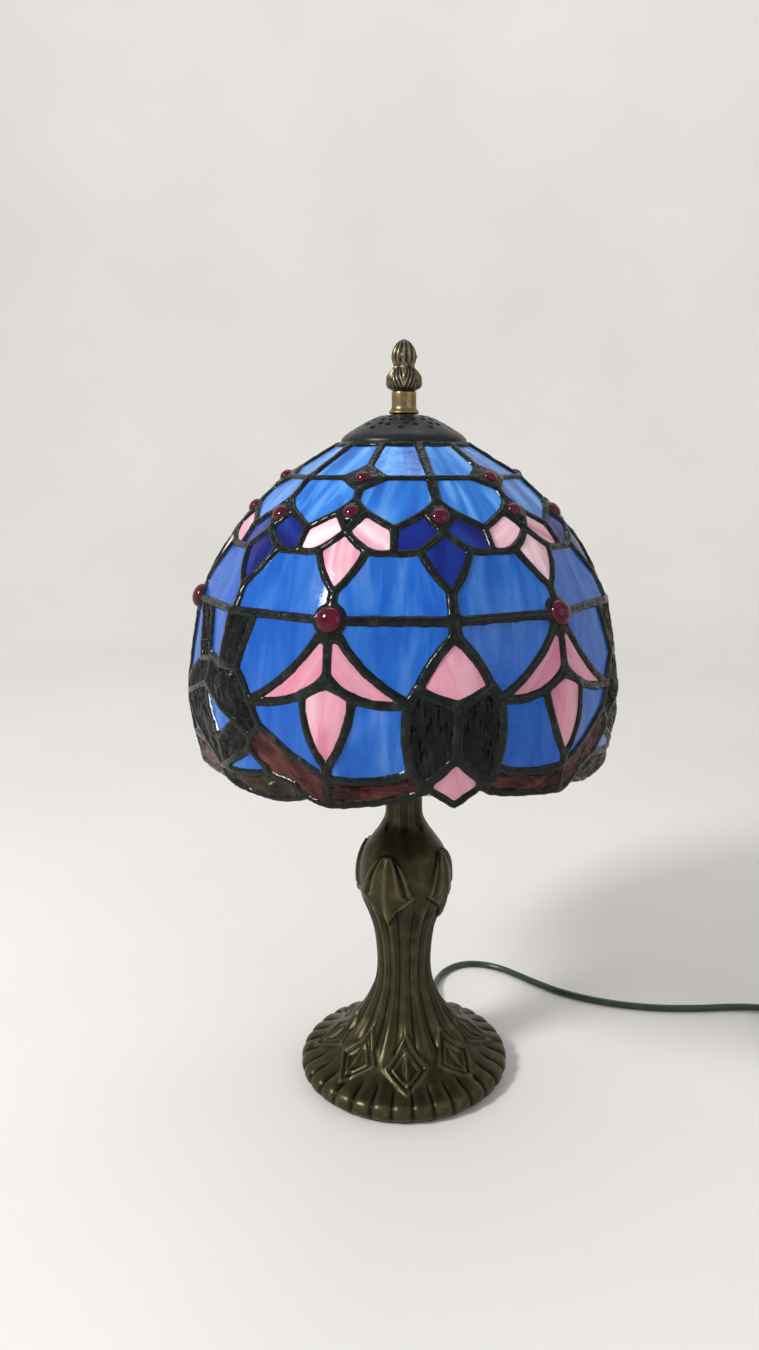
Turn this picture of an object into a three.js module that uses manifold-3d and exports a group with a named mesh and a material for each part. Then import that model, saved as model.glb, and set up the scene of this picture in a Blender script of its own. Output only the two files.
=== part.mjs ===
// Small table lamp: a twelve-sided stained-glass shade on a leaf-cast bronze stand.
// Millimetres, +Z up. The lamp's axis is X = Y = 0 and it stands on Z = 0.
// Bearings run from -Y (the front) towards +X, in degrees.

import * as THREE from 'three';
import { mergeVertices } from 'three/addons/utils/BufferGeometryUtils.js';
import Module from 'manifold-3d';

const wasm = await Module();
wasm.setup();

// ---- driving dimensions ------------------------------------------------------

const GAP = 0.3;                  // air left between two pieces that touch

// Shade
const FACES = 12;                 // glass gores, with a seam between each two
const FIRST_SEAM = 12;            // bearing of one seam
const GLASS = 2.2;                // glass thickness
const CAME_WIDTH = 2.4;           // solder seam, across
const CAME_PROUD = 1.4;           // solder seam, above the glass on both faces
const CROWN_RING = [24.0, 29.2];  // solder ring under the cap, between two corner radii
const CROWN_RING_LOW = 315.2;
const HEM_DEPTH = 2.7;            // height of the solder ring round the hem
// Seam line from crown to hem: [distance from the axis, height].
const GLASS_LINE = [
  [31.0, 317.6], [55.0, 303.5], [69.5, 290.0], [83.5, 273.0], [95.5, 250.5], [102.2, 208.0], [98.3, 179.5],
];
const UPPER_FOLD = 1;             // index in GLASS_LINE of the upper ring
const LOWER_FOLD = 4;             // index in GLASS_LINE of the lower ring
const JEWELS = 6;                 // on each ring, at every second seam
const FIRST_JEWEL = -18;          // bearing of one jewel on each ring
const LARGE_JEWEL_R = 4.6;
const SMALL_JEWEL_R = 2.3;

// Crown
const CAP_RIM_R = 28.7;
const CAP_BOTTOM = 318.0;
const CAP_TOP = 331.0;
const CAP_SHEET = 1.0;
const STUD_R = 3.1;
const STUD_TOP = 337.0;
const SEAT_TOP = 328.9;

// Stand
const FELT_R = 50;
const FELT = 1.2;
const FOOT_BOTTOM = FELT + GAP;
const NECK_TOP = 150;
const ROD_R = 5.0;
const FOOT_CEILING = 38;          // flat inside the foot that the rod's nut pulls against

// Lamp holder and bulb
const SADDLE = NECK_TOP + GAP;
const HOLDER_BOTTOM = 155;
const HOLDER_TOP = 206;
const BULB_R = 24;
const BULB_BASE_R = 13.0;         // medium Edison screw
const BULB_TOP = 268;

// Harp
const HARP_WIRE = 3.2;
const HARP_HALF = 37;
const HARP_FOOT = 166;

// Cord
const CORD = 3.8;
const FLOOR_LINE = 2.0;           // height of the cord's middle where it lies flat
const EXIT_BEARING = 165;
const EXIT_HEIGHT = 5.4;
const EXIT_RADIUS = 56.3;
const SWITCH_X = 216;
const SWITCH_Y = [-24, 28];
const SWITCH_SPLIT = 6.0;         // height of the joint between the switch's two shells
const COIL_MIDDLE = 22.8;
const COIL_COLUMNS = 5;
const COIL_LAYERS = 2;
const COIL_Y = -56;
const PLUG_Y = [-28, 2];
const PLUG_HEIGHT = 6.6;

// ---- helpers -------------------------------------------------------------------

const degrees = Math.PI / 180;
const halfFace = (180 / FACES) * degrees;

/** One closed, outward-facing geometry with shared vertices. */
function closed(geometry) {
  const bare = geometry.index ? geometry.clone() : geometry;
  for (const name of ['normal', 'uv']) bare.deleteAttribute(name);
  const merged = mergeVertices(bare, 1e-4);
  const index = Array.from(merged.index.array);
  const at = merged.attributes.position;
  const a = new THREE.Vector3();
  const b = new THREE.Vector3();
  const c = new THREE.Vector3();
  const kept = [];
  let volume = 0;
  for (let i = 0; i < index.length; i += 3) {
    const [p, q, r] = index.slice(i, i + 3);
    if (p === q || q === r || r === p) continue;
    kept.push(p, q, r);
    a.fromBufferAttribute(at, p);
    b.fromBufferAttribute(at, q);
    c.fromBufferAttribute(at, r);
    volume += a.dot(b.cross(c));
  }
  if (volume < 0) kept.reverse();
  merged.setIndex(kept);
  return merged;
}

/** The geometry as a solid that can be joined and cut. */
function solid(geometry) {
  const shape = closed(geometry);
  return new wasm.Manifold(new wasm.Mesh({
    numProp: 3,
    vertProperties: new Float32Array(shape.attributes.position.array),
    triVerts: new Uint32Array(shape.index.array),
  }));
}

/** A joined or cut solid as a geometry. */
function geometryOf(shape) {
  const mesh = shape.getMesh();
  const geometry = new THREE.BufferGeometry();
  geometry.setAttribute('position', new THREE.BufferAttribute(mesh.vertProperties, 3));
  geometry.setIndex(Array.from(mesh.triVerts));
  return geometry;
}

/** Turned shape about Z from a profile of [radius, height] points. */
function turned(profile, segments = 24, bearing = 0) {
  const onAxis = profile[0][0] === 0 && profile[profile.length - 1][0] === 0;
  const outline = onAxis ? profile : [...profile, profile[0]];
  const points = outline.map(([radius, height]) => new THREE.Vector2(radius, height));
  const geometry = new THREE.LatheGeometry(points, segments);
  geometry.rotateX(Math.PI / 2);
  geometry.rotateZ(bearing * degrees);
  return geometry;
}

/** Flat outline of [x, y] points, extruded upwards from height low to high. */
function prism(outline, low, high) {
  const shape = new THREE.Shape(outline.map(([x, y]) => new THREE.Vector2(x, y)));
  const geometry = new THREE.ExtrudeGeometry(shape, { depth: high - low, bevelEnabled: false });
  geometry.translate(0, 0, low);
  return geometry;
}

/** Box between two corners. */
function block(low, high) {
  const size = high.map((value, axis) => value - low[axis]);
  const middle = high.map((value, axis) => (value + low[axis]) / 2);
  return new THREE.BoxGeometry(...size).translate(...middle);
}

/** Round rod along a smooth curve through the points. */
function rodAlong(points, diameter, steps, sides = 8) {
  const path = new THREE.CatmullRomCurve3(points.map((point) => new THREE.Vector3(...point)));
  const section = new THREE.Shape();
  const radius = diameter / 2;
  for (let side = 0; side < sides; side += 1) {
    const angle = (2 * Math.PI * side) / sides;
    section[side ? 'lineTo' : 'moveTo'](radius * Math.cos(angle), radius * Math.sin(angle));
  }
  return new THREE.ExtrudeGeometry(section, { steps, bevelEnabled: false, extrudePath: path });
}

/** Outline of a rectangle with cut corners, centred on [x, y]. */
function cutRectangle([x, y], [width, length], cut) {
  const across = width / 2;
  const along = length / 2;
  return [
    [x - across + cut, y - along], [x + across - cut, y - along],
    [x + across, y - along + cut], [x + across, y + along - cut],
    [x + across - cut, y + along], [x - across + cut, y + along],
    [x - across, y + along - cut], [x - across, y - along + cut],
  ];
}

/** An open line of [radius, height] points moved sideways; positive is away from the axis. */
function offsetLine(line, distance) {
  const normals = line.slice(1).map(([r1, z1], i) => {
    const [r0, z0] = line[i];
    const length = Math.hypot(r1 - r0, z1 - z0);
    return [-(z1 - z0) / length, (r1 - r0) / length];
  });
  return line.map(([r, z], i) => {
    const [ax, az] = normals[Math.max(i - 1, 0)];
    const [bx, bz] = normals[Math.min(i, normals.length - 1)];
    const scale = distance / (1 + ax * bx + az * bz);
    return [r + (ax + bx) * scale, z + (az + bz) * scale];
  });
}

/** Point on the lamp at a bearing, a distance from the axis and a height. */
function onBearing(bearing, radius, height) {
  return [radius * Math.sin(bearing * degrees), -radius * Math.cos(bearing * degrees), height];
}

const lamp = new THREE.Group();

/** Adds one named piece. */
function piece(name, geometry, [color, roughness, metalness]) {
  const material = new THREE.MeshStandardMaterial({ color, roughness, metalness });
  const shape = geometry.isBufferGeometry ? closed(geometry) : geometryOf(geometry);
  const mesh = new THREE.Mesh(shape, material);
  mesh.name = name;
  lamp.add(mesh);
}

// ---- finishes: colour, roughness, metalness --------------------------------------

const BLUE_GLASS = [0x5f8fdc, 0.18, 0];
const SOLDER = [0x1c2a26, 0.35, 0.6];
const RUBY = [0x4a0c16, 0.12, 0];
const GUNMETAL = [0x4b4e52, 0.45, 0.8];
const BRONZE = [0x3d3a2a, 0.4, 0.6];
const ANTIQUE_BRASS = [0x9c8250, 0.35, 0.9];
const STEEL = [0x9ea2a6, 0.4, 0.9];
const IRON = [0x45474a, 0.7, 0.5];
const FELT_GREEN = [0x24402f, 0.95, 0];
const RUBBER = [0x14181a, 0.6, 0];
const CORD_GREEN = [0x1c3530, 0.45, 0];
const PORCELAIN = [0xe9e5da, 0.4, 0];
const BULB_WHITE = [0xf2efe6, 0.15, 0];
const SWITCH_BLACK = [0x1a1c1d, 0.35, 0];

// ---- shade -------------------------------------------------------------------------

const flatLine = GLASS_LINE.map(([radius, height]) => [radius * Math.cos(halfFace), height]);

/** Jewel axis at a fold: where it stands and which way the glass faces there. */
function foldFacing(fold) {
  const [r0, z0] = flatLine[fold - 1];
  const [r1, z1] = flatLine[fold + 1];
  return Math.atan2(r1 - r0, z0 - z1);
}

/** Moves a shape turned about Z so that its axis leaves the shade at a seam and a fold. */
function placeOnSeam(geometry, fold, bearing) {
  const [radius, height] = GLASS_LINE[fold];
  geometry.rotateX(Math.PI / 2 - foldFacing(fold));
  geometry.translate(0, -radius, height);
  geometry.rotateZ(bearing * degrees);
  return geometry;
}

/** Bearings of the jewels on a ring. */
function jewelBearings() {
  return Array.from({ length: JEWELS }, (_, i) => FIRST_JEWEL + (360 / JEWELS) * i);
}

const JEWEL_RINGS = [
  { name: 'large_jewel', fold: LOWER_FOLD, radius: LARGE_JEWEL_R, collar: 1.2, sides: 10 },
  { name: 'small_jewel', fold: UPPER_FOLD, radius: SMALL_JEWEL_R, collar: 0, sides: 6 },
];

/** Domed glass jewel, its flat back just inside the shade. */
function jewel({ fold, radius, sides }, bearing) {
  const back = -GLASS / 2;
  const dome = [
    [0, back], [radius, back], [radius, radius * 0.3], [radius * 0.72, radius * 0.62], [0, radius * 0.8],
  ];
  return placeOnSeam(turned(dome, sides), fold, bearing);
}

/** Round plug that clears a jewel, or its collar, out of the pieces around it. */
function jewelHole({ fold, radius, sides }, bearing, margin) {
  const reach = radius + margin;
  const depth = 3 * GLASS;
  const bar = [[0, -depth], [reach, -depth], [reach, depth], [0, depth]];
  return solid(placeOnSeam(turned(bar, sides), fold, bearing));
}

/** One folded glass gore, its middle at a bearing. */
function gore(bearing) {
  const inner = offsetLine(flatLine, -GLASS);
  const margin = (CAME_WIDTH / 2 + GAP) / Math.cos(halfFace);
  const corners = [];
  for (const line of [flatLine, inner]) {
    for (const [radius, height] of line) {
      const half = radius * Math.tan(halfFace) - margin;
      corners.push([-half, -radius, height], [half, -radius, height]);
    }
  }
  const count = flatLine.length;
  const corner = (side, station, right) => 2 * (side * count + station) + right;
  const faces = [];
  const quad = (a, b, c, d) => faces.push(a, b, c, a, c, d);
  for (let i = 0; i < count - 1; i += 1) {
    quad(corner(0, i, 0), corner(0, i + 1, 0), corner(0, i + 1, 1), corner(0, i, 1));
    quad(corner(1, i, 1), corner(1, i + 1, 1), corner(1, i + 1, 0), corner(1, i, 0));
    quad(corner(0, i, 1), corner(0, i + 1, 1), corner(1, i + 1, 1), corner(1, i, 1));
    quad(corner(1, i, 0), corner(1, i + 1, 0), corner(0, i + 1, 0), corner(0, i, 0));
  }
  const last = count - 1;
  quad(corner(0, 0, 0), corner(0, 0, 1), corner(1, 0, 1), corner(1, 0, 0));
  quad(corner(0, last, 1), corner(0, last, 0), corner(1, last, 0), corner(1, last, 1));
  const geometry = new THREE.BufferGeometry();
  geometry.setAttribute('position', new THREE.Float32BufferAttribute(corners.flat(), 3));
  geometry.setIndex(faces);
  geometry.rotateZ(bearing * degrees);
  return solid(geometry);
}

/** One seam strip, crown to hem, standing proud of both faces of the glass. */
function seamStrip(bearing) {
  const outer = offsetLine(GLASS_LINE, CAME_PROUD);
  const inner = offsetLine(GLASS_LINE, -GLASS - CAME_PROUD).reverse();
  const [hemR, hemZ] = GLASS_LINE[GLASS_LINE.length - 1];
  const hem = [[hemR + 0.6, hemZ - 2], [hemR - 3.4, hemZ - 2]];
  const crownTop = CAP_BOTTOM - GAP;
  const crown = [[CROWN_RING[1] - 2, CROWN_RING_LOW], [CROWN_RING[1] - 2, crownTop], [GLASS_LINE[0][0], crownTop]];
  const strip = prism([...outer, ...hem, ...inner, ...crown], -CAME_WIDTH / 2, CAME_WIDTH / 2);
  strip.rotateX(Math.PI / 2);
  strip.rotateZ((bearing - 90) * degrees);
  return solid(strip);
}

/** Twelve-sided seam ring over a fold, just clear of the glass. */
function foldRing(fold) {
  const reach = 2.2;
  const [before, at, after] = flatLine.slice(fold - 1, fold + 2);
  const towards = ([r0, z0], [r1, z1]) => {
    const length = Math.hypot(r1 - r0, z1 - z0);
    return [r0 + ((r1 - r0) * reach) / length, z0 + ((z1 - z0) * reach) / length];
  };
  const line = [towards(at, before), at, towards(at, after)];
  const [high, inner, low] = offsetLine(line, GAP);
  const ridge = offsetLine(line, CAME_PROUD + 0.6)[1];
  const corners = [high, ridge, low, inner].map(([radius, height]) => [radius / Math.cos(halfFace), height]);
  return solid(turned(corners, FACES, FIRST_SEAM));
}

/** Twelve-sided ring between two radii, measured at the corners, and two heights. */
function facedRing(inside, outside, low, high) {
  return solid(turned([[inside, low], [outside, low], [outside, high], [inside, high]], FACES, FIRST_SEAM));
}

/** All the solder work of the shade as one casting. */
function solderWork() {
  const [hemR, hemZ] = GLASS_LINE[GLASS_LINE.length - 1];
  let work = facedRing(...CROWN_RING, CROWN_RING_LOW, CAP_BOTTOM - GAP);
  work = work.add(facedRing(hemR - 4.2, hemR + 0.9, hemZ - GAP - HEM_DEPTH, hemZ - GAP));
  work = work.add(foldRing(UPPER_FOLD)).add(foldRing(LOWER_FOLD));
  for (let face = 0; face < FACES; face += 1) {
    work = work.add(seamStrip(FIRST_SEAM + (360 / FACES) * face));
  }
  for (const ring of JEWEL_RINGS) {
    const reach = ring.radius + ring.collar;
    const collar = [[0, -GLASS], [reach, -GLASS], [reach, ring.radius * 0.3], [0, ring.radius * 0.3]];
    for (const bearing of jewelBearings()) {
      if (ring.collar) work = work.add(solid(placeOnSeam(turned(collar, ring.sides), ring.fold, bearing)));
      work = work.subtract(jewelHole(ring, bearing, GAP));
    }
  }
  return work;
}

/** Gores, solder work and jewels. */
function buildShade() {
  const seams = (360 / FACES);
  for (let face = 0; face < FACES; face += 1) {
    const middle = FIRST_SEAM + seams * (face + 0.5);
    let glass = gore(middle);
    for (const ring of JEWEL_RINGS) {
      for (const bearing of jewelBearings()) {
        const apart = Math.abs(((bearing - middle + 540) % 360) - 180);
        if (apart < seams) glass = glass.subtract(jewelHole(ring, bearing, ring.collar + GAP));
      }
    }
    piece(`glass_gore_${face + 1}`, glass, BLUE_GLASS);
  }
  piece('solder_work', solderWork(), SOLDER);
  for (const ring of JEWEL_RINGS) {
    jewelBearings().forEach((bearing, i) => {
      piece(`${ring.name}_${i + 1}`, jewel(ring, bearing), RUBY);
    });
  }
}

// ---- crown ---------------------------------------------------------------------------

/** Low pierced cone that closes the shade's crown, with a rolled rim. */
function ventCap() {
  const hole = STUD_R + 0.5;
  const outside = [
    [CAP_RIM_R, CAP_BOTTOM], [CAP_RIM_R, CAP_BOTTOM + 2.0], [26.0, 322.9], [18.8, 327.0],
    [15.1, 328.9], [11.6, 330.5], [8.0, CAP_TOP],
  ];
  const inside = [
    [8.0, CAP_TOP - CAP_SHEET], [11.3, 329.4], [14.8, 327.8], [18.4, 325.9], [25.2, 322.0],
    [26.6, CAP_BOTTOM],
  ];
  return turned([...outside, [hole, CAP_TOP], [hole, CAP_TOP - CAP_SHEET], ...inside].reverse(), 36);
}

/** Finial: a brass neck on the stud and a leaf bud on the neck. */
function buildFinial() {
  const bore = STUD_R + GAP;
  const low = CAP_TOP + GAP;
  const split = 341.2;
  const neck = [
    [bore, low], [6.9, low], [6.9, low + 1.5], [5.9, low + 2.4], [5.7, low + 3.4], [5.7, split],
    [bore, split],
  ];
  piece('finial_neck', turned(neck.reverse(), 14), ANTIQUE_BRASS);
  const bud = [
    [0, STUD_TOP + 0.5], [STUD_R - 0.1, STUD_TOP + 0.5], [STUD_R - 0.1, split + GAP], [5.9, split + GAP],
    [7.6, 343.2], [8.1, 345.6], [7.6, 348.0], [6.2, 350.6], [5.6, 352.6], [6.4, 355.6], [6.3, 357.0],
    [5.3, 359.4], [3.6, 362.0], [1.6, 363.9], [0, 364.4],
  ];
  piece('finial_bud', turned(bud, 14), ANTIQUE_BRASS);
}

/** Vent cap, the washer under it, and the finial. */
function buildCrown() {
  piece('vent_cap', ventCap(), GUNMETAL);
  const washerLow = SEAT_TOP + GAP;
  const washerHigh = CAP_TOP - CAP_SHEET - GAP;
  const washer = [[STUD_R + 0.3, washerLow], [6.8, washerLow], [6.8, washerHigh], [STUD_R + 0.3, washerHigh]];
  piece('seat_washer', turned(washer.reverse(), 20), RUBBER);
  buildFinial();
}

// ---- stand -----------------------------------------------------------------------------

/** Flared foot, waist, bulb and neck in one hollow casting. */
function standCasting() {
  const outside = [
    [49.6, FOOT_BOTTOM], [52.2, 2.4], [53.3, 5.2], [52.6, 8.2], [50.2, 10.3], [44.0, 12.6],
    [36.0, 17.0], [28.0, 23.6], [21.4, 32.0], [17.2, 40.5], [14.3, 48.5], [13.1, 57.0],
    [13.4, 67.0], [14.8, 78.0], [17.6, 87.5], [21.2, 96.0], [22.9, 105.0], [22.5, 113.0],
    [20.2, 120.5], [16.0, 127.0], [11.8, 133.0], [9.6, 138.5], [9.2, NECK_TOP],
  ];
  const bore = ROD_R + GAP;
  const inside = [
    [bore, NECK_TOP], [bore, FOOT_CEILING], [14.5, FOOT_CEILING], [14.5, 33.0], [18.6, 28.0],
    [26.0, 20.4], [34.5, 13.9], [43.0, 9.7], [48.0, 8.0], [49.8, 5.4], [48.2, FOOT_BOTTOM],
  ];
  const casting = solid(turned([...outside, ...inside].reverse(), 24));
  return casting.subtract(cordWay(3.0));
}

/** Round passage for the cord, from the middle of the foot out through its rear wall. */
function cordWay(radius) {
  const bar = new THREE.CylinderGeometry(radius, radius, 60, 12);
  bar.translate(0, -40, EXIT_HEIGHT);
  return solid(bar.rotateZ(EXIT_BEARING * degrees));
}

/** Rubber bush in the foot's rear wall. */
function cordBush() {
  const bore = CORD / 2 + GAP;
  const profile = [[bore, 0], [2.7, 0], [2.7, 7.2], [2.9, 8.4], [2.6, 10.4], [bore, 10.4]];
  const bush = turned(profile.reverse(), 12);
  bush.rotateX(Math.PI / 2);
  bush.rotateZ(EXIT_BEARING * degrees);
  bush.translate(...onBearing(EXIT_BEARING, EXIT_RADIUS - 10.7, EXIT_HEIGHT));
  return bush;
}

/** Cast weight in the foot, slotted for the cord. */
function footWeight() {
  const low = FOOT_BOTTOM + GAP;
  const disc = solid(turned([[12, low], [43, low], [41, 8.2], [30, 12.6], [12, 12.6]].reverse(), 24));
  const slot = block([-3.4, -50, low - 1], [3.4, 0, 14]);
  slot.rotateZ(EXIT_BEARING * degrees);
  return disc.subtract(solid(slot));
}

/** Casting, pad, weight, bush and the rod that ties the stand together. */
function buildStand() {
  piece('stand_casting', standCasting(), BRONZE);
  piece('felt_pad', turned([[0, 0], [FELT_R, 0], [FELT_R, FELT], [0, FELT]], 24), FELT_GREEN);
  piece('foot_weight', footWeight(), IRON);
  piece('cord_bush', cordBush(), RUBBER);

  const rodLow = 26;
  const rod = [[3.1, rodLow], [ROD_R, rodLow], [ROD_R, 162], [3.1, 162]];
  piece('threaded_rod', turned(rod.reverse(), 16), STEEL);

  const washerLow = FOOT_CEILING - GAP - 1.6;
  const washer = [
    [ROD_R + GAP, washerLow], [12.5, washerLow], [12.5, FOOT_CEILING - GAP], [ROD_R + GAP, FOOT_CEILING - GAP],
  ];
  piece('rod_washer', turned(washer.reverse(), 20), STEEL);

  const nutHigh = washerLow - GAP;
  const nutLow = nutHigh - 5;
  const bore = [[0, nutLow - 1], [ROD_R + GAP, nutLow - 1], [ROD_R + GAP, nutHigh + 1], [0, nutHigh + 1]];
  const hexagon = [[0, nutLow], [8.6, nutLow], [8.6, nutHigh], [0, nutHigh]];
  piece('rod_nut', solid(turned(hexagon, 6)).subtract(solid(turned(bore, 16))), STEEL);

  const lead = [[45.2, 5.4], [30, 5.2], [17, 6.6], [7, 12.5], [1.2, 21], [0, 30], [0, 60], [0, 110], [0, 154]];
  const leadPoints = lead.map(([radius, height]) => onBearing(EXIT_BEARING, radius, height));
  piece('inner_lead', rodAlong(leadPoints, 3.4, 26), CORD_GREEN);
}

// ---- harp --------------------------------------------------------------------------------

const SADDLE_HALF = 24;
const SADDLE_SHEET = 1.5;

/** Steel strip under the lamp holder, its ends turned up. */
function harpSaddle() {
  const half = SADDLE_HALF;
  const tip = HARP_FOOT - GAP;
  const sheet = SADDLE_SHEET;
  const outline = [
    [-half, tip], [-half, SADDLE + 4], [-half + 4, SADDLE], [half - 4, SADDLE], [half, SADDLE + 4], [half, tip],
    [half - sheet, tip], [half - sheet, SADDLE + 4.6], [half - 4.6, SADDLE + sheet],
    [-half + 4.6, SADDLE + sheet], [-half + sheet, SADDLE + 4.6], [-half + sheet, tip],
  ];
  const strip = prism(outline, -8, 8);
  strip.rotateX(Math.PI / 2);
  const hole = ROD_R + GAP;
  const bar = turned([[0, SADDLE - 2], [hole, SADDLE - 2], [hole, SADDLE + 4], [0, SADDLE + 4]], 16);
  return solid(strip).subtract(solid(bar));
}

/** Round wire bow that carries the shade over the bulb. */
function harpBow() {
  const foot = SADDLE_HALF - SADDLE_SHEET / 2;
  const right = [
    [foot, HARP_FOOT], [foot, 178], [HARP_HALF - 3, 200], [HARP_HALF, 230], [HARP_HALF - 1, 260],
    [HARP_HALF - 9, 290], [HARP_HALF - 23, 312], [4, 321.0],
  ];
  const left = right.map(([x, z]) => [-x, z]).reverse();
  return rodAlong([...right, ...left].map(([x, z]) => [x, 0, z]), HARP_WIRE, 36);
}

/** Swivel seat and threaded stud on top of the bow. */
function harpStud() {
  const low = 321.4 + HARP_WIRE / 2 + GAP;
  const profile = [
    [0, low], [4.5, low], [4.5, 325.6], [7.2, 326.6], [7.2, SEAT_TOP], [STUD_R, SEAT_TOP],
    [STUD_R, STUD_TOP - 0.8], [STUD_R - 0.8, STUD_TOP], [0, STUD_TOP],
  ];
  return turned(profile, 20);
}

/** Saddle, bow and stud. */
function buildHarp() {
  piece('harp_saddle', harpSaddle(), ANTIQUE_BRASS);
  piece('harp_bow', harpBow(), ANTIQUE_BRASS);
  piece('harp_stud', harpStud(), ANTIQUE_BRASS);
}

// ---- lamp holder and bulb --------------------------------------------------------------------

/** Cup, shell, insulator, screw shell and centre contact. */
function buildHolder() {
  const cupHigh = 167;
  const wall = 0.8;
  const cup = [
    [ROD_R + GAP, HOLDER_BOTTOM], [9.0, HOLDER_BOTTOM], [14.6, 159.0], [16.4, 163.0], [16.4, cupHigh],
    [16.4 - wall, cupHigh], [16.4 - wall, 163.4], [14.0, 160.0], [8.6, HOLDER_BOTTOM + 1], [ROD_R + GAP, HOLDER_BOTTOM + 1],
  ];
  piece('holder_cup', turned(cup.reverse(), 16), ANTIQUE_BRASS);

  const nut = [[ROD_R + GAP, 156.3], [8.0, 156.3], [8.0, 159.5], [ROD_R + GAP, 159.5]];
  piece('holder_nut', turned(nut.reverse(), 16), STEEL);

  const shellLow = cupHigh + GAP;
  const shell = [[15.4, shellLow], [16.2, shellLow], [16.2, HOLDER_TOP], [15.4, HOLDER_TOP]];
  piece('holder_shell', turned(shell.reverse(), 24), ANTIQUE_BRASS);

  const core = [[3.0, 168.0], [14.9, 168.0], [14.9, 176.0], [3.0, 176.0]];
  piece('holder_core', turned(core.reverse(), 20), PORCELAIN);

  const screw = [[BULB_BASE_R + 0.4, 176.4], [14.0, 176.4], [14.0, 204], [BULB_BASE_R + 0.4, 204]];
  piece('screw_shell', turned(screw.reverse(), 24), ANTIQUE_BRASS);

  const contact = [[0, 176.4], [3.6, 176.4], [3.6, 177.2], [1.8, 178.6], [0, 178.6]];
  piece('centre_contact', turned(contact, 12), ANTIQUE_BRASS);
}

/** Screw base and glass envelope. */
function buildBulb() {
  const base = [
    [0, 179.0], [4.4, 179.0], [5.4, 180.6], [11.4, 182.6], [BULB_BASE_R, 184.4], [BULB_BASE_R, HOLDER_TOP - 1.4],
    [0, HOLDER_TOP - 1.4],
  ];
  piece('bulb_base', turned(base, 20), STEEL);

  const envelope = [[12.4, HOLDER_TOP - 1.0], [12.8, 214.0], [16.6, 222.0], [21.6, 231.0]];
  const ball = BULB_TOP - BULB_R;
  const hollow = [[11.4, HOLDER_TOP - 1.0], [11.8, 214.4], [15.7, 222.4], [20.7, 231.4]];
  const dome = (radius) => [0, 18, 36, 54, 72, 90].map((up) => [
    up === 90 ? 0 : radius * Math.cos(up * degrees), ball + radius * Math.sin(up * degrees),
  ]);
  const outside = [...envelope, ...dome(BULB_R)];
  const inside = [...hollow, ...dome(BULB_R - 1)].reverse();
  piece('bulb_glass', turned([...outside, ...inside], 16), BULB_WHITE);
}

// ---- cord --------------------------------------------------------------------------------------

const CORD_START = onBearing(EXIT_BEARING, EXIT_RADIUS, EXIT_HEIGHT);

// From the bush, back and round on the table, then to the switch.
const LEAD_ROUTE = [
  CORD_START,
  [16.2, 60.4, 5.0], [17.3, 66.8, 3.8], [18.6, 75.2, 2.5], [21.0, 84.4, FLOOR_LINE],
  [25.3, 92.8, FLOOR_LINE], [32.0, 99.2, FLOOR_LINE], [40.6, 102.2, FLOOR_LINE], [50.6, 101.0, FLOOR_LINE],
  [60.2, 96.2, FLOOR_LINE], [69.2, 88.6, FLOOR_LINE], [79.4, 79.2, FLOOR_LINE], [92.2, 69.0, FLOOR_LINE],
  [108.0, 60.4, FLOOR_LINE], [127.0, 54.0, FLOOR_LINE], [148.0, 50.6, FLOOR_LINE], [170.0, 50.4, FLOOR_LINE],
  [188.0, 51.6, FLOOR_LINE], [202.0, 50.2, FLOOR_LINE + 0.6], [211.6, 44.0, FLOOR_LINE + 2.2],
  [215.6, 35.4, SWITCH_SPLIT - 0.4], [SWITCH_X, SWITCH_Y[1] + GAP, SWITCH_SPLIT],
];

const COIL_OUT = COIL_MIDDLE + (CORD * (COIL_COLUMNS - 1)) / 2;
const COIL_X = SWITCH_X + COIL_OUT;
const TAIL_X = COIL_X + COIL_OUT;

// From the switch to the coil's first turn.
const LINK_ROUTE = [
  [SWITCH_X, SWITCH_Y[0] - GAP, SWITCH_SPLIT], [SWITCH_X, -29.5, 5.6], [SWITCH_X, -35.0, 4.2],
];

// From the coil's last turn to the plug.
const TAIL_ROUTE = [
  [TAIL_X - 0.1, -34.6, 6.0], [TAIL_X, -31.5, 6.4], [TAIL_X, PLUG_Y[0] - GAP, PLUG_HEIGHT],
];

/** Coil of spare cord, as one flat ring. */
function cordCoil() {
  const half = (CORD * COIL_COLUMNS) / 2;
  const low = FLOOR_LINE - CORD / 2;
  const high = low + CORD * COIL_LAYERS;
  const ring = [
    [COIL_MIDDLE - half, low], [COIL_MIDDLE + half, low], [COIL_MIDDLE + half, high], [COIL_MIDDLE - half, high],
  ];
  return turned(ring.reverse(), 28).translate(COIL_X, COIL_Y, 0);
}

const SWITCH_WIDTH = 22;
const SWITCH_HIGH = 14.6;

/** Middle of the switch along the cord. */
const switchMiddle = (SWITCH_Y[0] + SWITCH_Y[1]) / 2;

/** One shell of the switch: a tray between two heights, open at the joint. */
function switchShell(low, high, floorLow, floorHigh) {
  const length = SWITCH_Y[1] - SWITCH_Y[0];
  const centre = [SWITCH_X, switchMiddle];
  const outside = solid(prism(cutRectangle(centre, [SWITCH_WIDTH, length], 5), low, high));
  const hollow = solid(prism(cutRectangle(centre, [SWITCH_WIDTH - 4, length - 5], 4), floorLow, floorHigh));
  const channel = new THREE.CylinderGeometry(CORD / 2 + GAP, CORD / 2 + GAP, length + 4, 10);
  channel.translate(SWITCH_X, switchMiddle, SWITCH_SPLIT);
  return outside.subtract(hollow).subtract(solid(channel));
}

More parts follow.
